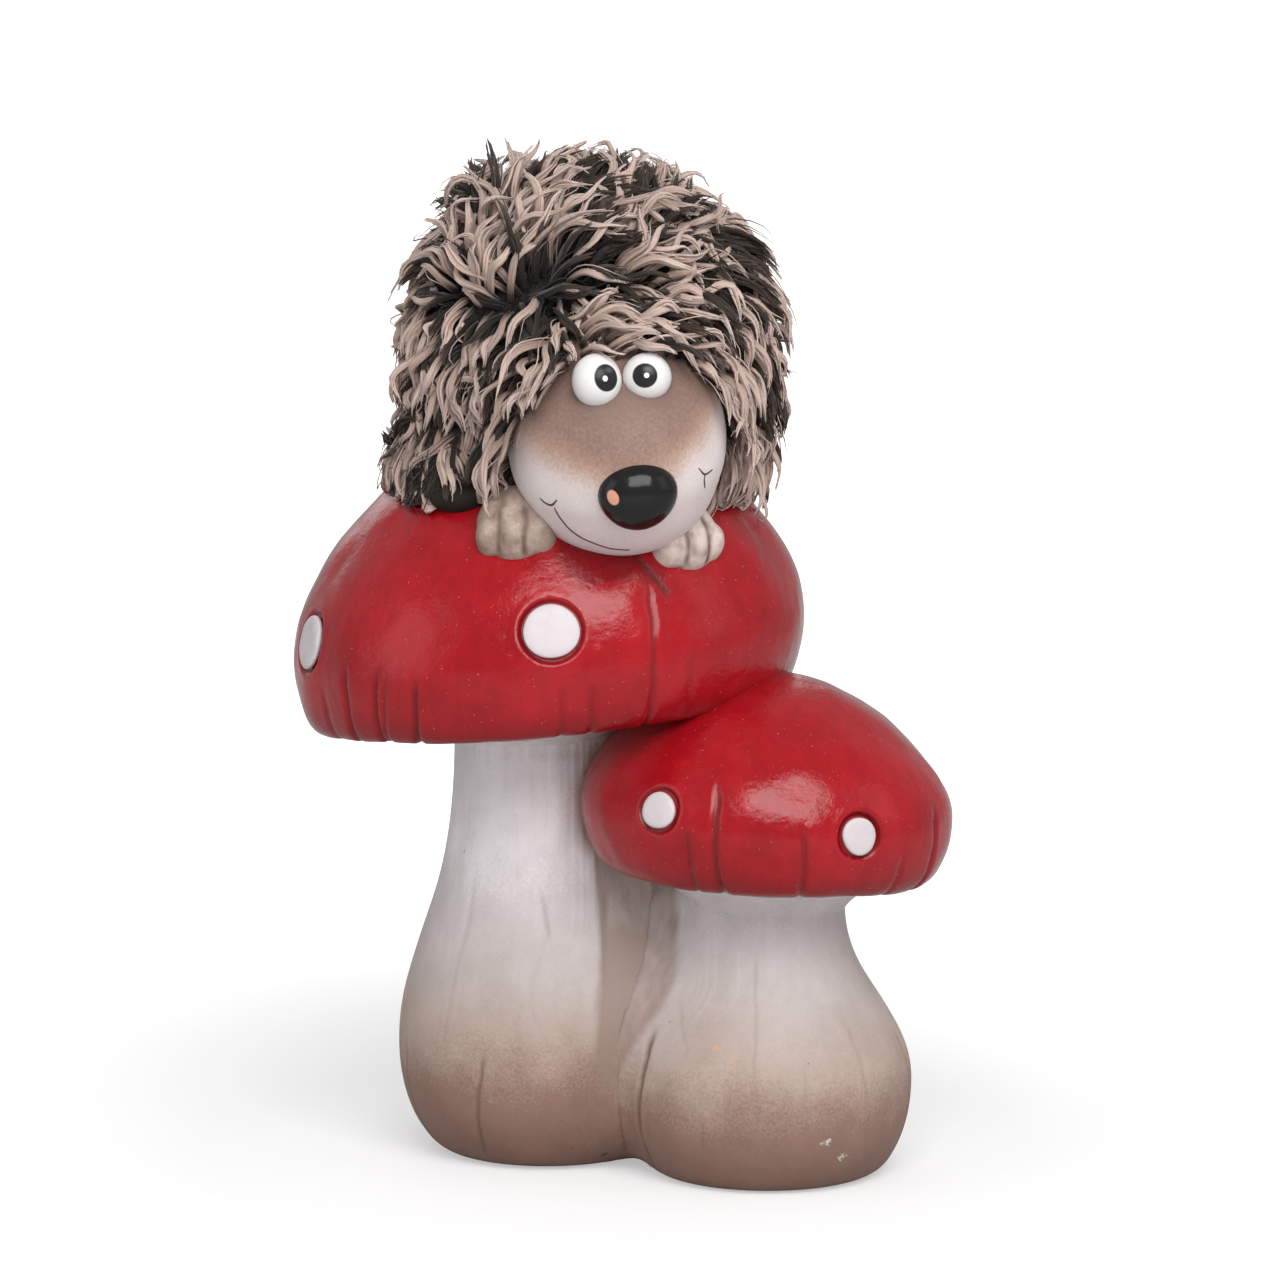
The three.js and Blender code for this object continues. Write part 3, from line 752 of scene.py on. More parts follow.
def redGlaze():
    look = Look("redGlaze")
    crease = look.layer("crease")
    cloud = look.ramp(look.noise(55, 4, 0.6), (0.3, 0.0), (0.7, 1.0))
    tone = look.mix(cloud, (0.30, 0.0040, 0.0078), (0.41, 0.0072, 0.0135))
    tone = look.mix(1.0, tone, look.ramp(look.streaks(330, 1.0, 0.22), (0.3, 0.86), (0.7, 1.0)), 'MULTIPLY')
    tone = look.mix(look.layer("shade"), tone, (0.19, 0.0028, 0.0055))
    tone = look.mix(crease, tone, (0.07, 0.0012, 0.0025))
    pinholes = look.ramp(look.noise(1500, 1, 0.4), (0.735, 0.0), (0.80, 0.6))
    tone = look.mix(pinholes, tone, (0.52, 0.16, 0.16))
    rough = crease * 0.5 + look.ramp(look.noise(170, 5, 0.7), (0.3, 0.04), (0.75, 0.15))
    peel = look.noise(600, 4, 0.7) * 0.7 + look.noise(110) + look.streaks(420, 0.3, 1.0) * 0.45
    return look.finish(tone, rough, 0.33, (peel, 0.24, 0.0009))


glazeFinish = redGlaze()
makeCap(largeToadstool, smallToadstool, glazeFinish)
makeCap(smallToadstool, largeToadstool, glazeFinish)
print("caps ready")

# Spots
spotShape = {"seatDepth": 1.1, "gap": 0.3, "crown": 1.5, "unevenEdge": 0.22, "steps": 72}


def makeSpots(size, material):
    low = spotShape["gap"] - spotShape["seatDepth"]
    crown, radius = spotShape["crown"], size["spot"]
    face = bow(np.linspace(0, 1, 14), (radius, low + crown * 0.45), (radius * 0.97, low + crown * 0.95),
               (radius * 0.6, low + crown), (0, low + crown))
    for number, turnAndRise in enumerate(size["spots"], 1):
        outline = [(0, low), (radius, low), *face]
        disc = spin(f"{size['name']}CapSpot{number}", outline, spotShape["steps"])
        points = readPoints(disc)
        turn = np.radians(turnOf(points))
        wavy = np.sin(turn * 2 + number * 1.7) * 0.6 + np.sin(turn * 3 + number * 2.9) * 0.4
        points[:, :2] *= (1 + spotShape["unevenEdge"] / radius * wavy)[:, None]
        points[:, 2] += uneven(points, (0.35, number, 0.12)) * (points[:, 2] > low + 0.2)
        writePoints(disc, points)
        place(disc, capMatrix(size) @ slopeMatrix(size, *turnAndRise))
        settle(disc, "spot_white", material, f"{size['name']}_cap_spot_{number}")


def spotPaint():
    look = Look("spotPaint")
    cloud = look.noise(420, 4, 0.65)
    tone = look.mix(cloud, (0.545, 0.495, 0.51), (0.645, 0.60, 0.62))
    return look.finish(tone, 0.42, 0.25, (cloud, 0.12, 0.0005))


spotFinish = spotPaint()
makeSpots(largeToadstool, spotFinish)
makeSpots(smallToadstool, spotFinish)
print("spots ready")

# Head and face, with the segments and rings of each ball as "fine"
hedgehog = {"place": (9.5, 2, 184.8), "turn": 15, "half": (38, 43, 42.5), "fine": (96, 64)}
headShape = {"place": (-4, -43, -9), "turn": -5, "nod": 18, "roll": 7, "half": (25, 25, 30), "fine": (200, 120)}
# pale muzzle below a line that dips at the nose, and painted shade round the eyes and where the coat begins
mask = {
    "dip": -1.2, "slope": 0.40, "leftSlope": -0.06, "ragged": 1.2, "soft": 8, "muzzleFrom": (-14, 2), "edge": 0.75,
    "edgeAhead": (8, 17), "edgeUp": (-6, 4), "eyeReach": 1.5, "browUp": (5, 22), "browAhead": (-4, 26),
    "browSides": (7, 18), "browFade": 0.5, "uneven": 0.2,
}
jaw = {"chin": 2.0, "chinDown": (0.35, 0.9), "cheek": 0.9, "cheekOut": (0.3, 0.85), "cheekDown": (-0.1, 0.4),
       "ahead": (-0.3, 0.2)}
eyeShape = {
    "radius": 5.55, "side": 5.7, "up": 20.4, "stretch": {"left": 1.14, "right": 0.98},
    "lift": {"left": 0.7, "right": 0}, "fine": (96, 64),
    # where the pupil and its glint lie, as ways out of the eye in the figurine's frame
    "pupil": {"left": (0.413, -0.885, 0.214), "right": (-0.091, -0.983, 0.16)},
    "glint": {"left": (0.333, -0.926, 0.178), "right": (-0.011, -0.987, 0.16)},
    # place and half sizes of the sheen, and a distance that keeps the paint off the far side
    "sheen": (0.7, 1.55), "sheenHalf": (1.3, 0.8), "behind": 20,
}
bodyHalf, headHalf = np.array(hedgehog["half"]), np.array(headShape["half"])
headRadius, headReach = headShape["half"][1:]
hogMatrix = Matrix.Translation(hedgehog["place"]) @ turned(hedgehog["turn"], 'Z')
headMatrix = (hogMatrix @ Matrix.Translation(headShape["place"]) @ turned(headShape["turn"], 'Z')
              @ turned(90 + headShape["nod"], 'X') @ turned(headShape["roll"], 'Z'))
eyeAhead = headReach * math.sqrt(1 - (eyeShape["side"] ** 2 + eyeShape["up"] ** 2) / headRadius ** 2)
eyeSeats = {side: (sign * eyeShape["side"], eyeShape["up"], eyeAhead) for side, sign in (("left", -1), ("right", 1))}


def jawPush(points):
    # fuller chin and lower left cheek than the plain egg
    x, y, z = (points / headHalf).T
    cheek = jaw["cheek"] * fade(*jaw["cheekOut"], -x) * fade(*jaw["cheekDown"], -y)
    return (jaw["chin"] * fade(*jaw["chinDown"], -y) + cheek) * fade(*jaw["ahead"], z)


def makeHead(material):
    piece = ball("hedgehogHead", headHalf, *headShape["fine"])
    points = readPoints(piece)
    x, y, z = points.T
    line = mask["dip"] + mask["slope"] * np.abs(x) + mask["leftSlope"] * np.maximum(-x, 0)
    line = line + uneven(points, (0.12, 4, mask["ragged"]))
    muzzle = (1 - fade(-mask["soft"], mask["soft"], y - line)) * fade(*mask["muzzleFrom"], z)
    # painted shade where the coat begins and round the eyes
    socket = mask["edge"] * (1 - fade(*mask["edgeAhead"], z)) * fade(*mask["edgeUp"], y)
    for seat in eyeSeats.values():
        far = lengthOf(points - seat) - eyeShape["radius"]
        socket = np.maximum(socket, np.exp(-np.maximum(far, 0) / mask["eyeReach"]))
    middle = 1 - mask["browFade"] * fade(*mask["browSides"], np.abs(x))
    brow = fade(*mask["browUp"], y) * fade(*mask["browAhead"], z) * middle
    paint(piece, socket=socket, muzzle=muzzle, brow=brow)
    pushOutward(piece, points, uneven(points, (0.06, 21, mask["uneven"])) + jawPush(points))
    place(piece, headMatrix)
    settle(piece, "face_paint", material, "hedgehog_head")


def facePaint():
    look = Look("facePaint")
    grain = look.noise(1300, 2, 0.7)
    tone = look.ramp(
        (grain * 0.50 + look.layer("muzzle") + look.noise(120) * 0.20) * 0.72,
        (0.14, (0.19, 0.113, 0.094)), (0.42, (0.395, 0.256, 0.197)), (0.62, (0.54, 0.41, 0.355)),
        (0.80, (0.67, 0.575, 0.556)), (1.0, (0.755, 0.682, 0.678)))
    tone = look.mix(look.layer("brow") * 0.85, tone, (0.18, 0.112, 0.095))
    # painted shade round the eyes and at the hairline
    tone = look.mix(look.layer("socket") * 0.62, tone, (0.12, 0.085, 0.075))
    return look.finish(tone, 0.6, 0.3, (grain, 0.15, 0.0004))


def makeEye(side, material):
    radius = eyeShape["radius"]
    piece = ball(side + "Eye", (radius,) * 3, *eyeShape["fine"])
    turn = Vector(eyeShape["pupil"][side]).normalized().to_track_quat('Z', 'Y').to_matrix().to_4x4()
    glint = turn.inverted() @ Vector(eyeShape["glint"][side]).normalized() * radius
    points = readPoints(piece)
    flat, behind = points[:, :2], (points[:, 2] < 0) * eyeShape["behind"]
    sheen = (flat - eyeShape["sheen"]) / eyeShape["sheenHalf"]
    paint(piece, pupil=offAxis(flat) + behind, sheen=offAxis(sheen) + behind, glint=offAxis(flat - glint.xy) + behind)
    upright = headMatrix.to_3x3().to_4x4()
    tall = upright @ Matrix.Diagonal((1, eyeShape["stretch"][side], 1, 1)) @ upright.inverted()
    centre = headMatrix @ (Vector(eyeSeats[side]) + Vector((0, eyeShape["lift"][side], 0)))
    place(piece, Matrix.Translation(centre) @ tall @ turn)
    settle(piece, "eye_white", material, side + "_eye")


def eyePaint():
    look = Look("eyePaint")
    tone = look.mix(look.noise(300), (0.72, 0.695, 0.685), (0.78, 0.765, 0.76))
    for name, share, start, end, colour in (("pupil", 0.1, (0.270, 1.0), (0.292, 0.0), (0.012, 0.012, 0.013)),
                                            ("sheen", 0.25, (0.05, 0.5), (0.26, 0.0), (0.13, 0.15, 0.17)),
                                            ("glint", 0.25, (0.13, 1.0), (0.165, 0.0), (0.9, 0.9, 0.9))):
        tone = look.mix(look.ramp(look.layer(name) * share, start, end), tone, colour)
    return look.finish(tone, 0.34, 0.3)


noseShape = {"half": (8.85, 8.05, 6.5), "drop": 2.6, "sink": 0.12, "fine": (96, 64),
             "peach": (-6.2, 2.3), "peachHalf": (1.2, 1.6), "behind": 9}


def makeNose(material):
    piece = ball("noseTip", noseShape["half"], *noseShape["fine"])
    points = readPoints(piece)
    x, y, z = points.T
    # a slightly squarer top than an egg
    x *= 1 + 0.05 * fade(-6, 6, y) - 0.04 * fade(2, -7, y)
    peach = (points[:, :2] - noseShape["peach"]) / noseShape["peachHalf"]
    paint(piece, peach=offAxis(peach) + (z < 0) * noseShape["behind"])
    writePoints(piece, points)
    ahead = headReach - 2 * noseShape["half"][2] * noseShape["sink"]
    place(piece, headMatrix @ Matrix.Translation((0, -noseShape["drop"], ahead)))
    settle(piece, "nose_black", material, "nose")


def nosePaint():
    look = Look("nosePaint")
    cloud = look.noise(200)
    black = look.mix(cloud, (0.006, 0.006, 0.0065), (0.013, 0.012, 0.012))
    peach = look.ramp(look.layer("peach") * 0.25, (0.235, 1.0), (0.27, 0.0))
    return look.finish(look.mix(peach, black, (0.62, 0.30, 0.20)), 0.17, 0.28, (cloud, 0.22, 0.0008))


# Mouth strokes on the head's egg, in the head's own frame: across and up
mouth = {
    "halfWidth": 0.30, "halfThick": 0.16, "sides": 8,
    # rings and points of each stroke
    "strokes": {
        "leftTick": (16, [(-20.2, -5.5), (-19.2, -6.2), (-18.1, -6.1), (-17.2, -4.3)]),
        "line": (40, [(-17.6, -6.6), (-16.5, -9.3), (-14.6, -12.2), (-12.1, -14.4), (-9.2, -15.9),
                      (-5.95, -17.2), (-1.8, -17.9)]),
        "rightTick": (16, [(14.7, 0.3), (16.3, -2.3), (18.5, -2.7)]),
        "rightStroke": (16, [(16.3, -2.3), (16.1, -4.0), (16.3, -6.2)]),
    },
}


def throughPoints(points, steps):
    # smooth line through a few points
    points = np.array(points, float)
    padded = np.vstack([2 * points[0] - points[1], points, 2 * points[-1] - points[-2]])
    out = []
    for step in np.linspace(0, len(points) - 1 - 1e-6, steps):
        t = step % 1
        a, b, c, d = padded[int(step):int(step) + 4]
        out.append(b + 0.5 * ((c - a) * t + (2 * a - 5 * b + 4 * c - d) * t * t + (3 * b - a - 3 * c + d) * t ** 3))
    return np.array(out)


def makeMouth(material):
    strokes = []
    for name, (steps, line) in mouth["strokes"].items():
        flat = throughPoints(line, steps)
        ahead = headReach * np.sqrt(np.maximum(1 - (flat ** 2).sum(axis=1) / headRadius ** 2, 0.02))
        path = np.column_stack([flat, ahead])
        outward = normalised(path / headHalf ** 2)
        path = path + outward * jawPush(path)[:, None]
        taper = np.sin(np.pi * np.linspace(0.12, 0.93, len(path))) ** 0.6
        across = np.cross(normalised(np.gradient(path, axis=0)), outward) * (mouth["halfWidth"] * taper)[:, None]
        strokes.append(tube("mouth" + name, path, across, outward * mouth["halfThick"], mouth["sides"]))
    piece = joined(*strokes)
    piece.name = "mouthStrokes"
    place(piece, headMatrix)
    settle(piece, "face_paint", material)


def mouthPaint():
    look = Look("mouthPaint")
    return look.finish(look.mix(look.noise(700, 2), (0.035, 0.022, 0.018), (0.085, 0.055, 0.043)), 0.6)


makeHead(facePaint())
eyeFinish = eyePaint()
makeEye("left", eyeFinish)
makeEye("right", eyeFinish)
makeNose(nosePaint())
makeMouth(mouthPaint())
print("face ready")

# Paws
pawShape = {
    "width": 19, "length": 20, "thick": 13, "turn": -0.2, "spread": {"left": -23.1, "right": 23.1},
    # pale: each paw's tone, the right paw painted lighter and the left darker as painted light and shade
    "rises": {"left": 0.465, "right": 0.38}, "pale": {"left": 0.58, "right": 1.12}, "voxel": 0.42,
    "fine": (48, 32), "toeFine": (32, 24), "smooth": 24, "furrow": -0.25, "furrowWidth": 0.8, "grimeWidth": 2.4,
    # shares of the width, length and thickness
    "half": (0.5, 0.5, 0.52), "toeHalf": (0.185, 0.22, 0.47), "toesApart": 0.31, "toeAhead": 0.26, "toeBack": 0.08,
    "palmBack": 0.02, "furrows": (0.15, -0.17),
}
pawSize = np.array((pawShape["width"], pawShape["length"], pawShape["thick"]))


def pawMatrix(side):
    azimuth = hedgehog["turn"] + pawShape["turn"] - 90 + pawShape["spread"][side]
    return capMatrix(largeToadstool) @ slopeMatrix(largeToadstool, azimuth, pawShape["rises"][side])


def makePaw(side, material):
    width, length = pawShape["width"], pawShape["length"]
    piece = ball(side + "Paw", pawSize * pawShape["half"], *pawShape["fine"])
    place(piece, Matrix.Translation((0, length * pawShape["palmBack"], 0)))
    for toeSide in (-1, 0, 1):
        toe = ball("toe", pawSize * pawShape["toeHalf"], *pawShape["toeFine"])
        ahead = pawShape["toeAhead"] - pawShape["toeBack"] * abs(toeSide)
        place(toe, Matrix.Translation((toeSide * width * pawShape["toesApart"], -length * ahead, 0)))
        joined(piece, toe)
    modify(piece, 'REMESH', mode='VOXEL', voxel_size=pawShape["voxel"])
    modify(piece, 'SMOOTH', factor=0.5, iterations=pawShape["smooth"])
    points = readPoints(piece)
    x, y, z = points.T
    bentX = x + 0.35 * np.sin(y * 0.5)
    furrows = [bentX - width * share for share in pawShape["furrows"]]
    groove = np.maximum(*(bell(far, pawShape["furrowWidth"]) for far in furrows))
    groove *= (1 - fade(-length * 0.05, length * 0.15, y)) * fade(-2, 2, z)
    # grime in the furrows, and painted shade along the foot of the paw where it meets the cap
    blot = wander(points, 0.42, 14)
    grimeAndShade = 0.75 * np.clip(sum(bell(far, pawShape["grimeWidth"]) for far in furrows) * blot * 1.5, 0, 1)
    grimeAndShade = np.maximum(grimeAndShade, (1 - fade(-3.2, 0.2, z)) * (0.75 + 0.3 * blot))
    worn = groove * (0.9 + uneven(points, (0.6, 9, 0.25)))
    # the right paw is painted paler and the left darker, as painted light and shade; each paw is also darker towards
    # its back and at its sides
    pale = pawShape["pale"][side] - 0.3 * fade(0, 9, y) - 0.22 * fade(width * 0.3, width * 0.5, np.abs(x))
    paint(piece, crease=np.maximum(worn, grimeAndShade).clip(0, 1), muzzle=pale)
    pushOutward(piece, points, groove * pawShape["furrow"])
    place(piece, pawMatrix(side))
    settle(piece, "face_paint", material, side + "_paw")


def pawPaint():
    look = Look("pawPaint")
    grain = look.noise(1300, 2, 0.7)
    # the muzzle layer holds each paw's paleness, with painted light on the right paw and painted shade on the left
    tone = look.ramp(grain * 0.4 + look.layer("muzzle"), (0.35, (0.225, 0.145, 0.112)),
                     (0.8, (0.42, 0.325, 0.276)), (1.0, (0.64, 0.535, 0.48)))
    patches = look.ramp(look.noise(210, 5, 0.65), (0.48, 0.0), (0.66, 0.6))
    tone = look.mix(patches, tone, (0.22, 0.142, 0.108))
    # furrows and grime, with painted shade along the foot of the paw
    tone = look.mix(look.layer("crease"), tone, (0.135, 0.088, 0.069))
    return look.finish(tone, 0.6, 0.3, (grain, 0.15, 0.0004))


pawFinish = pawPaint()
makePaw("left", pawFinish)
makePaw("right", pawFinish)
print("paws ready")

# Black body under the coat, with a hip that shows beside the left paw
hipShape = {"half": (7.8, 5, 3.6), "above": (-18.6, -33.8, 220), "fine": (48, 32)}
pastCap = 30.0


def domeLift(points, grown):
    # how far a point lies above the large cap
    radius, height = inCap(largeToadstool, points)
    dome = domeOutline(largeToadstool)[1][::-1]
    lift = height - np.interp(radius, dome[:, 0], dome[:, 1]) - grown
    return np.where(radius > largeToadstool["cap"], pastCap, lift)


def bodyPaint():
    look = Look("bodyPaint")
    cloud = look.noise(240, 4)
    tone = look.mix(cloud, (0.009, 0.007, 0.006), (0.022, 0.017, 0.014))
    return look.finish(tone, 0.7, 0.2, (cloud, 0.2, 0.0006))


def makeBody(material):
    piece = ball("hedgehogBody", bodyHalf, *hedgehog["fine"])
    place(piece, hogMatrix)
    hip = ball("hip", hipShape["half"], *hipShape["fine"])
    above = np.array([hipShape["above"]])
    above[:, 2] -= domeLift(above, 0)
    place(hip, Matrix.Translation(above[0]))
    joined(piece, hip)
    settle(piece, "body_black", material, "hedgehog_body")


makeBody(bodyPaint())

# Plush coat
coat = {
    "seed": 11, "whorl": (-16, -46, 22), "locks": 3300, "headLocks": 950, "hemLocks": 420,
    "rootLift": 1.9, "headRootLift": 0.5, "offHead": 0.4, "offBody": 1.2,
    "darkShare": 0.405, "length": 17.2, "lengthSpread": 0.18, "rings": 12, "lockWidth": 0.66, "lockThick": 0.48,
    "tipRadius": 0.10, "columns": 64, "sectors": 9, "aside": 0.55, "wave": 0.42, "kink": 1.15, "lieReach": 5.6,
    "headGap": 0.6, "bodyGap": 1.4, "pawHalf": (0.5, 0.52, 0.52), "chin": -18, "capLift": 2.5,
    # heights where locks come to stand and where they hang, and how body and head share their ways out
    "upper": (190, 222), "lower": (164, 226), "bodyReach": 40, "headReach": 26, "blend": 3,
    # hem on the left: turns, how far out, bulge, depth inwards, heights, and the gap that shows the black body
    "hem": {"turns": (-186, -130), "out": 46.8, "bulge": 2.5, "bulgeTurns": (-155, -140), "deep": 9, "lift": 6,
            "climb": 10, "ragged": 1.5, "gap": 0.5, "open": 1.5, "openLeft": (12, 26), "openAhead": (4, 16)},
    # the beige and the dark yarn: strands of a lock, share of its length, first column of tints and how many
    "yarns": [
        {"strands": 5, "reach": 1.0, "rings": 12, "radius": 0.48, "first": 0, "tints": 48,
         "wide": 1, "deep": 1, "rough": 1.0},
        {"strands": 5, "reach": 0.80, "rings": 8, "radius": 0.42, "first": 48, "tints": 16,
         "wide": 1.15, "deep": 1.3, "rough": 1.5},
    ],
    # turn about the snout in degrees, and how far ahead of the head's middle the coat starts there
    "hairline": [(-90, -4), (-20, -1), (0, 4), (19, 6), (39, 7.5), (65, 11), (82, 11.5), (97, 11), (111, 9.5),
                 (128, 9), (144, 8), (171, 5), (193, 0), (207, -2), (270, -4)],
    # lie of the pile seen from the front: place across and up, and the way it runs there
    "lie": [
        (-13, 116, -0.4, 0.9), (-19, 110, -0.5, 0.85), (-28, 103, -0.55, 0.85), (-21, 99, -0.5, 0.85),
        (-10, 99, -0.1, 1), (-3, 102, 0.3, 0.95), (2, 94, 0.3, 0.95), (5, 105, 0.2, 1), (-14, 82, -0.1, 1),
        (-4, 86, 0.25, 0.95), (10, 97, 0.65, 0.75), (-31, 93, -0.75, 0.6), (-36, 77, -1, 0.2), (-24, 74, -0.2, -1),
        (-19, 90, -0.2, 1), (-8, 71, 0.1, -1), (-24, 84, -0.45, 0.8), (-34, 85, -0.75, 0.5), (19, 105, 0.65, 0.75),
        (26, 105, 0.4, 0.9), (21, 91, 0.4, 0.9), (14, 91, 0.85, 0.4), (27, 87, 0.9, 0.3), (31, 84, 1, 0),
        (36, 80, 0.9, -0.1), (45, 83, 0.8, 0.4), (51, 98, 1, 0.2), (49, 92, 1, -0.1), (53, 90, 1, -0.3),
        (17, 76, 0.9, -0.3), (24, 70, 1, -0.15), (36, 72, 0.8, -0.5), (45, 67, 0.4, -0.9), (55, 77, 0.3, -0.95),
        (56, 63, 0.2, -1), (47, 58, 0, -1), (8, 79, 0.9, 0.2), (6, 71, 0.4, -0.9), (-24, 71, 0, -1),
        (-34, 56, 0, -1), (-24, 51, 0.1, -1), (-12, 49, 0.15, -1), (-6, 50, 0.5, -0.7), (-37, 50, -0.9, -0.3),
        (-38, 45, -0.9, -0.3), (-36, 40, 0.1, -1), (-24, 35, -0.3, -0.9), (-13, 37, 0.3, -0.95), (-24, 40, 0.1, -1),
        (-1, 67, 0.2, -1), (-3, 58, 0.1, -1), (41, 49, 0, -1), (50, 47, 0.1, -1), (45, 37, 0, -1),
        (34, 102, 0.8, 0.55), (41, 107, 0.8, 0.6), (13, 114, 0.4, 0.9), (22, 116, 0.5, 0.85), (3, 114, 0.1, 1),
        (36, 114, 0.7, 0.7),
    ],
    # places where more or less of the dark ground shows: across, up, reach and how much
    "darker": [(-16, 95, 16, -0.3), (1, 79, 5, 0.8), (10, 107, 14, 1.0), (36, 93, 9, 0.6), (52, 86, 9, -0.6),
               (-24, 64, 12, -0.2), (53, 66, 12, 0.3), (51, 41, 12, -1.9), (-24, 52, 12, 0.6), (-28, 43, 6.5, -0.45),
               (28, 73, 12, 0.2)],
    # places that stay free of hair seen from the front: across, up, half sizes, and how far in some locks reach;
    # they hold for what is ahead of a depth, above and below the face's lower edge
    "faceUp": 32, "faceAhead": -30, "pawAhead": -12,
    "windows": [(12.3, 59.3, 5.9, 5.2, 0), (23.7, 60.0, 5.5, 5.0, 0), (17.4, 41.5, 23.8, 19.5, 0.2),
                (-6.5, 20.5, 11, 6.5, 0.15), (-19.5, 22.5, 9, 9, 0.1), (-31.5, 25.5, 6.5, 6, 0.1)],
    # the pile is trimmed to this outline seen from the front: turn about the middle, and how far out
    "middle": (10.5, 72.1), "trimShare": (0.94, 1.0),
    "trim": [(0, 48.8), (20, 48.2), (30, 47.6), (40, 46), (50, 47), (60, 47.4), (70, 46), (80, 46.6), (90, 47),
             (100, 46), (110, 49.2), (120, 57.8), (130, 51), (140, 51.5), (150, 49.2), (160, 47.2), (170, 53.8),
             (180, 47.4), (190, 47.5), (200, 53.2), (210, 58.5), (222, 65), (235, 90), (310, 90), (330, 54),
             (340, 54), (350, 51), (360, 48.8)],
    # turn about the body's middle as seen from the front, and the share of the length there
    "reach": [(0, 1.18), (30, 1.1), (42, 1.35), (60, 1.1), (75, 1.08), (90, 1.08), (100, 1.08), (110, 1.35),
              (120, 1.7), (130, 1.2), (141, 0.85), (152, 0.8), (162, 1.05), (172, 0.95), (182, 0.8), (190, 0.85),
              (200, 1.25), (212, 1.6), (232, 1.3), (250, 1.1), (270, 1.0), (330, 1.06), (345, 1.14), (360, 1.1)],
}


def fromTable(name, turn):
    return np.interp(turn, *np.array(coat[name], float).T)


def pushOut(points, matrix, half):
    local = moved(points, matrix.inverted())
    scale = lengthOf(local / np.array(half))
    inside = scale < 1
    points[inside] = moved(local[inside] / np.maximum(scale[inside], 0.05)[:, None], matrix)


def keepClear(points):
    pushOut(points, headMatrix, headHalf + coat["headGap"])
    for seat in eyeSeats.values():
        pushOut(points, headMatrix @ Matrix.Translation(seat), (eyeShape["radius"] + coat["headGap"],) * 3)
    for side in ("left", "right"):
        pushOut(points, pawMatrix(side), pawSize * coat["pawHalf"])
    pushOut(points, hogMatrix, bodyHalf + coat["bodyGap"])
    # the hem lifts off the cap on the left, where the black body shows
    hem = coat["hem"]
    opened = fade(*hem["openLeft"], -points[:, 0]) * fade(*hem["openAhead"], -points[:, 1])
    points[:, 2] -= np.minimum(domeLift(points, hem["gap"] + hem["open"] * opened), 0)


def evenWays(count, rng):
    index = np.arange(count) + 0.5
    polar = np.arccos(1 - 2 * index / count)
    turn = math.pi * (1 + 5 ** 0.5) * index
    ways = np.stack([np.cos(turn) * np.sin(polar), np.sin(turn) * np.sin(polar), np.cos(polar)], axis=1)
    return normalised(ways + rng.normal(0, 0.5 / count ** 0.5, ways.shape))


def coatRoots(rng):
    onBody = moved(evenWays(coat["locks"], rng) * (bodyHalf + coat["rootLift"]), hogMatrix)
    onBody = onBody[lengthOf(moved(onBody, headMatrix.inverted()) / (headHalf + coat["offHead"])) > 1]
    # the coat also reaches over the back of the head, up to the hairline
    inHead = evenWays(coat["headLocks"], rng) * (headHalf + coat["headRootLift"])
    hairline = fromTable("hairline", (turnOf(inHead) + 90) % 360 - 90)
    onHead = moved(inHead[(inHead[:, 2] < hairline) & (inHead[:, 1] > coat["chin"])], headMatrix)
    onHead = onHead[lengthOf(moved(onHead, hogMatrix.inverted()) / (bodyHalf + coat["offBody"])) > 1]
    roots = np.vstack([onBody, onHead])
    roots = roots[domeLift(roots, coat["capLift"]) > 0]
    # the hem spreads over the cap on the left
    count, hem = coat["hemLocks"], coat["hem"]
    turn = np.radians(rng.uniform(*hem["turns"], count))
    inwards = rng.uniform(0, 1, count)
    out = hem["out"] + hem["bulge"] * fade(*hem["bulgeTurns"], np.degrees(turn)) - hem["deep"] * inwards
    onCap = np.column_stack([np.cos(turn) * out, np.sin(turn) * out, np.zeros(count)]) + hedgehog["place"]
    ragged = rng.uniform(-hem["ragged"], hem["ragged"], count)
    onCap[:, 2] -= domeLift(onCap, hem["lift"] + hem["climb"] * inwards + ragged)
    return np.vstack([roots, onCap])


def coatOutward(points):
    # out of the body or of the head, whichever is nearer
    ways, fars = [], []
    for matrix, half, reach in ((hogMatrix, bodyHalf, coat["bodyReach"]), (headMatrix, headHalf, coat["headReach"])):
        local = moved(points, matrix.inverted())
        ways.append(normalised(local / half ** 2) @ np.array(matrix)[:3, :3].T)
        fars.append((lengthOf(local / half) - 1) * reach)
    share = 1 / (1 + np.exp(np.clip((fars[1] - fars[0]) / coat["blend"], -30, 30)))[:, None]
    return normalised(ways[0] * (1 - share) + ways[1] * share)


def lieOfPile(points):
    table = np.array(coat["lie"], float)
    far = np.sum((seenFromFront(points)[:, None, :] - table[None, :, :2]) ** 2, axis=2)
    share = np.exp(-far / (2 * coat["lieReach"] ** 2)) + 1e-4 / (1 + far)
    way = share @ table[:, 2:] / share.sum(axis=1, keepdims=True)
    return np.column_stack([way[:, 0], np.zeros(len(points)), way[:, 1]])


def without(vectors, ways):
    return vectors - ways * np.sum(vectors * ways, axis=-1, keepdims=True)


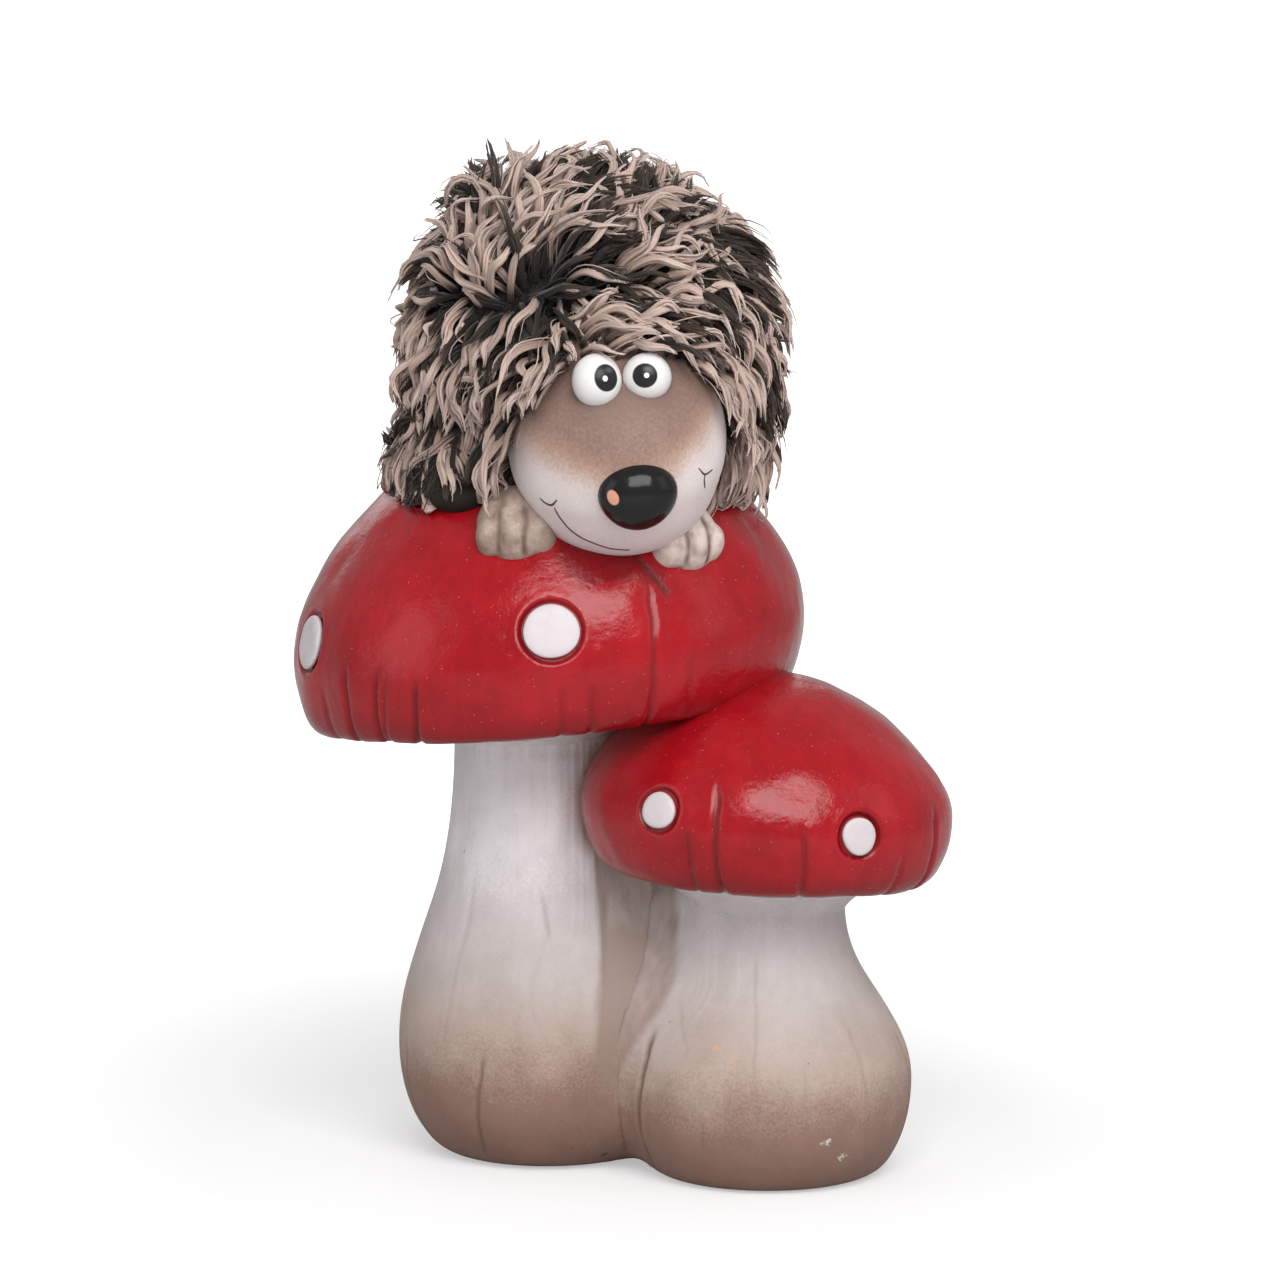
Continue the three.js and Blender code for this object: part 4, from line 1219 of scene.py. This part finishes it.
def lockPaths(rng, roots, dark):
    count, rings = len(roots), coat["rings"]
    whorl = moved(np.array(coat["whorl"], float), hogMatrix)
    drift, tuft = wanderWay(roots, 0.05, 3), wanderWay(roots, 0.17, 8)
    high = fade(*coat["upper"], roots[:, 2])
    length = coat["length"] * (1 + coat["lengthSpread"] * rng.normal(0, 1, count).clip(-2, 1.4)) * (1 + 0.15 * high)
    fromMiddle = (roots - hedgehog["place"])[:, ::2]
    sideways = offAxis(coatOutward(roots)[:, ::2])
    length *= (1 + (fromTable("reach", turnOf(fromMiddle) % 360) - 1) * sideways) * (0.86 + 0.14 * sideways)
    lively = np.where(dark, 0.5, 1.0)
    sway = rng.choice((-1, 1), count) * rng.uniform(0.4, 1.5, count) * coat["wave"] * lively
    rise = rng.normal(0, coat["wave"] * 0.7, count) * lively
    kink = rng.normal(0, coat["kink"], count) * (rng.uniform(0, 1, count) < 0.7) * lively
    kinkAt = rng.uniform(0.45, 0.85, count)
    phase, risePhase = rng.uniform(0, math.tau, count), rng.uniform(0, math.tau, count)
    stand = rng.normal(0, 0.3, count)
    turnAside = rng.normal(0, coat["aside"], count)
    down = np.array((0, 0, -1.0))
    paths = np.empty((count, rings, 3))
    here, way = roots.copy(), None
    for ring in range(rings):
        keepClear(here)
        paths[:, ring] = here
        outward = coatOutward(here)
        away = normalised(without(here - whorl, outward))
        low = 1 - fade(*coat["lower"], here[:, 2])
        general = away * (1 - 0.7 * low)[:, None] + without(down, outward) * (0.1 + 0.8 * low)[:, None] + drift * 0.5
        front = fade(-0.15, 0.35, -outward[:, 1])[:, None]
        flow = general * (1 - front) + lieOfPile(here) * front + drift * 0.15 + tuft * 0.42
        flow = normalised(without(flow, outward))
        flow = normalised(flow + np.cross(outward, flow) * turnAside[:, None])
        if way is None:
            way = normalised(outward * (0.85 + stand + 0.3 * high - 0.2 * low)[:, None] + flow * 0.75 + tuft * 0.3)
        else:
            t = ring / (rings - 1)
            wavy = fade(0.1, 0.45, t)
            bend = wavy * sway * np.cos(phase + t * 10.5) + kink * 0.62 * bell(t - kinkAt, 0.075)
            swing = wavy * rise * np.cos(risePhase + t * 9.5)
            pull = flow * 0.14 - outward * (0.03 + 0.07 * t) + down * (0.02 + 0.05 * low)[:, None]
            pull += np.cross(outward, flow) * bend[:, None] + outward * swing[:, None]
            way = normalised(way + pull)
        here = here + way * (length / (rings - 1))[:, None]
    return trimmed(rng, paths)


def alongPaths(paths, at):
    # points of each path at broken ring numbers
    lower = np.clip(np.floor(at).astype(int), 0, paths.shape[1] - 2)
    part = (at - lower)[:, :, None]
    rows = np.arange(len(paths))[:, None]
    return paths[rows, lower] * (1 - part) + paths[rows, lower + 1] * part


def trimmed(rng, paths):
    # locks end before the face and at the coat's outline
    count, rings = paths.shape[:2]
    points = paths.reshape(-1, 3)
    seen = seenFromFront(points)
    hidden = np.zeros(len(seen), bool)
    stray = np.repeat(rng.uniform(0, 1, count) ** 3, rings)
    for across, up, wide, tall, into in coat["windows"]:
        hidden |= lengthOf((seen - (across, up)) / (wide, tall)) < 1 - into * stray
    hidden &= points[:, 1] < np.where(seen[:, 1] > coat["faceUp"], coat["faceAhead"], coat["pawAhead"])
    aside = seen - coat["middle"]
    limit = fromTable("trim", turnOf(aside) % 360) * np.repeat(rng.uniform(*coat["trimShare"], count), rings)
    hidden = (hidden | (offAxis(aside) > limit)).reshape(count, rings)
    first = np.where(hidden.any(axis=1), hidden.argmax(axis=1), rings) - 0.6
    return alongPaths(paths, np.clip(first / (rings - 1), 0.05, 1)[:, None] * np.arange(rings))


def strandMesh(name, centres, across, radii, columns):
    # closed three-sided tapering strands; centres is strands x rings x 3
    count, rings = centres.shape[:2]
    sides = 3
    tangents = normalised(np.gradient(centres, axis=1))
    sideA = normalised(without(across, tangents))
    sideB = np.cross(tangents, sideA)
    angles = np.arange(sides)[:, None] * math.tau / sides
    spokes = np.cos(angles) * sideA[:, :, None, :] + np.sin(angles) * sideB[:, :, None, :]
    points = (centres[:, :, None, :] + radii[:, :, None, None] * spokes).reshape(count, -1, 3)
    tip = centres[:, -1] + tangents[:, -1] * radii[:, -1:] * 3
    points = np.concatenate([points, tip[:, None, :]], axis=1)
    each, last = rings * sides + 1, (rings - 1) * sides
    quads = [(ring + side, ring + (side + 1) % sides) for ring in range(0, last, sides) for side in range(sides)]
    faces = [(a, b, b + sides, a + sides) for a, b in quads]
    faces += [(last + side, last + (side + 1) % sides, each - 1) for side in range(sides)] + [(2, 1, 0)]
    loops = (np.arange(count)[:, None] * each + np.concatenate(faces)).ravel()
    totals = np.tile([len(face) for face in faces], count)
    mesh = bpy.data.meshes.new(name)
    mesh.vertices.add(count * each)
    mesh.vertices.foreach_set("co", points.astype(np.float32).ravel())
    mesh.loops.add(len(loops))
    mesh.loops.foreach_set("vertex_index", loops.astype(np.int32))
    mesh.polygons.add(len(totals))
    mesh.polygons.foreach_set("loop_start", (np.cumsum(totals) - totals).astype(np.int32))
    # one column of the map for each strand's tint, root to tip upwards
    u = columns[:, None] + np.append(0.2 + 0.3 * np.tile(np.arange(sides), rings), 0.5)
    v = np.append(np.repeat(np.linspace(0.02, 0.97, rings), sides), 0.985)
    uv = np.stack([u.ravel() / coat["columns"], np.tile(v, count)], axis=1)[loops]
    mesh.uv_layers.new(name="OFBake").data.foreach_set("uv", uv.astype(np.float32).ravel())
    mesh.update(calc_edges=True)
    mesh.validate()
    return link(name, mesh)


def makeStrands(rng, yarn, paths, flat, rise, broad, tint):
    # the strands of one kind of yarn: centres, ways across, radii and columns of tint
    count, rings, steps = len(paths), coat["rings"], yarn["rings"]
    along, run = np.linspace(0, 1, rings), np.linspace(0, 1, steps)
    opened = (0.75 + 0.25 * fade(0, 0.5, along)) * (1 - 0.8 * fade(0.58, 1.0, along))
    slim = (1 - 0.92 * fade(0.66, 1.0, run)) * (0.8 + 0.2 * fade(0, 0.5, run))
    thick = yarn["radius"] * slim + coat["tipRadius"]
    made = []
    for strand in range(yarn["strands"] + 1):
        wisp = strand == yarn["strands"]
        aside = (strand + 0.5) / yarn["strands"] * 2 - 1 + rng.normal(0, 0.15, count)
        lift = rng.uniform(-1, 1, count) * np.sqrt(np.maximum(1 - aside ** 2, 0.1))
        if wisp:
            aside, lift = rng.normal(0, 1.6, count), rng.normal(0, 2.4, count)
        line = (paths + flat * ((aside * broad)[:, None] * coat["lockWidth"] * yarn["wide"] * opened)[:, :, None]
                + rise * (lift[:, None] * coat["lockThick"] * yarn["deep"] * opened)[:, :, None])
        # outer strands stop shorter, so that the lock ends in a point
        stop = yarn["reach"] * (1 - 0.10 * np.abs(aside) - rng.uniform(0, 0.14, count)).clip(0.55, 1)
        line = alongPaths(line, stop[:, None] * run * (rings - 1))
        apart = (count, 1, 3)
        frizz = np.sin(rng.uniform(0, 6, apart) + run[:, None] * rng.uniform(5, 11, apart))
        line += frizz * run[:, None] * (0.5 if wisp else 0.12 * yarn["rough"])
        line += rng.normal(0, 0.8 if wisp else 0.10 * yarn["rough"], apart) * run[:, None] ** 2
        radii = thick * rng.uniform(0.75, 1.15, (count, 1)) * (0.32 if wisp else 1)
        shade = np.clip(tint * yarn["tints"] + rng.normal(0, 0.7, count), 0, yarn["tints"] - 1)
        sides = flat[:, np.linspace(0, rings - 1, steps).round().astype(int)]
        made.append((line, sides, radii, yarn["first"] + shade.astype(int)))
    return [np.concatenate(parts) for parts in zip(*made)]


def makeCoat(material):
    rng = np.random.default_rng(coat["seed"])
    roots = coatRoots(rng)
    count = len(roots)
    patch = uneven(roots, (0.12, 31, 0.5), (0.27, 37, 0.8)) + rng.normal(0, 0.3, count)
    for across, up, wide, much in coat["darker"]:
        far = lengthOf(seenFromFront(roots) - (across, up))
        patch += much * bell(far, wide) * fade(0, 12, -roots[:, 1])
    dark = patch > np.quantile(patch, 1 - coat["darkShare"])
    paths = lockPaths(rng, roots, dark)
    tangents = normalised(np.gradient(paths, axis=1))
    outward = coatOutward(paths.reshape(-1, 3)).reshape(paths.shape)
    flat = normalised(np.cross(tangents, outward))
    rise = np.cross(flat, tangents)
    twist = rng.normal(0, 0.7, (count, 1)) + rng.normal(0, 0.8, (count, 1)) * np.linspace(0, 1, coat["rings"])
    cosine, sine = np.cos(twist)[:, :, None], np.sin(twist)[:, :, None]
    flat, rise = flat * cosine + rise * sine, rise * cosine - flat * sine
    broad, tint = rng.uniform(0.7, 1.3, count), rng.uniform(0, 1, count)
    turn = turnOf(moved(roots, hogMatrix.inverted()))
    sector = np.argsort(np.argsort(turn, kind="stable")) * coat["sectors"] // count
    sectors = [[] for _ in range(coat["sectors"])]
    total = 0
    for isDark, yarn in enumerate(coat["yarns"]):
        chosen = np.flatnonzero(dark == isDark)
        strands = makeStrands(rng, yarn, *(values[chosen] for values in (paths, flat, rise, broad, tint)))
        owners = np.tile(sector[chosen], yarn["strands"] + 1)
        total += len(owners)
        for number, made in enumerate(sectors):
            made.append(strandMesh(f"pile{number + 1}", *(values[owners == number] for values in strands)))
    pieces = [joined(*made) for made in sectors]
    for piece in pieces:
        settle(piece, "plush_pile", material, "plush_pile")
    print("coat of", count, "locks and", total, "strands")
    return pieces


def pilePaint():
    look = Look("pilePaint")
    uv = look.node("UVMap", "UV", uv_map="OFBake")
    across, along = (look.node("SeparateXYZ", axis, {0: uv}) for axis in "XY")
    column = (across * coat["columns"]).calc('FLOOR')
    # the dark root is longer in some strands
    hue, start = (look.node("TexWhiteNoise", "Value", {"W": column + shift}, noise_dimensions='1D')
                  for shift in (0, 71))
    beige = look.ramp(
        start * -0.16 + along + 0.08, (0.0, (0.020, 0.014, 0.012)), (0.08, (0.06, 0.042, 0.034)),
        (0.26, (0.40, 0.285, 0.235)), (0.60, (0.58, 0.434, 0.371)), (1.0, (0.69, 0.543, 0.484)))
    black = look.ramp(along, (0.0, (0.010, 0.008, 0.007)), (0.6, (0.034, 0.023, 0.018)), (1.0, (0.085, 0.058, 0.046)))
    tone = look.mix(across.calc('GREATER_THAN', coat["yarns"][1]["first"] / coat["columns"]), beige, black)
    tone = look.mix(1.0, tone, look.ramp(hue, (0.0, 0.72), (1.0, 1.0)), 'MULTIPLY')
    look.feed(look.shader, {"Sheen Weight": 0.12})
    return look.finish(tone, 0.75, 0.15)


pilePieces = makeCoat(pilePaint())

# Ground cloth of the coat
cloth = {"thick": 1.5, "gap": 0.3, "hemLift": 2.4, "flare": 3, "flareTurn": -128, "flareWidth": 15,
         "flareHeights": (2, 13), "underHead": 0.6, "fine": (128, 96)}


def clothPaint():
    look = Look("clothPaint")
    weave = look.node("TexVoronoi", "Distance", {"Vector": look.coords(), "Scale": 900})
    tone = look.ramp(weave, (0.0, (0.03, 0.024, 0.02)), (0.8, (0.008, 0.0065, 0.006)))
    return look.finish(tone, 0.95, 0.1, (weave, 0.4, 0.0005))


def makeCloth(material):
    piece = ball("groundCloth", bodyHalf + cloth["gap"] + cloth["thick"], *cloth["fine"])
    place(piece, hogMatrix)
    points = readPoints(piece)
    inHead = moved(points, headMatrix.inverted())
    drop = (domeLift(points, cloth["hemLift"]) < 0) | (lengthOf(inHead / (headHalf - cloth["underHead"])) < 1)
    inEdit(piece, (bpy.ops.mesh.select_mode, {"type": 'VERT'}), takeNone)
    piece.data.vertices.foreach_set("select", drop)
    inEdit(piece, (bpy.ops.mesh.delete, {"type": 'VERT'}))
    modify(piece, 'SOLIDIFY', thickness=cloth["thick"], offset=-1)
    points = readPoints(piece)
    near = 1 - fade(*cloth["flareHeights"], domeLift(points, 0))
    aside = points[:, :2] - hedgehog["place"][:2]
    left = bell(turnOf(aside) - cloth["flareTurn"], cloth["flareWidth"])
    points[:, :2] += normalised(aside) * (cloth["flare"] * near * left)[:, None]
    points[:, 2] -= np.minimum(domeLift(points, cloth["gap"]), 0)
    writePoints(piece, points)
    settle(piece, "plush_cloth", material, "plush_backing")


makeCloth(clothPaint())
print("coat ready")
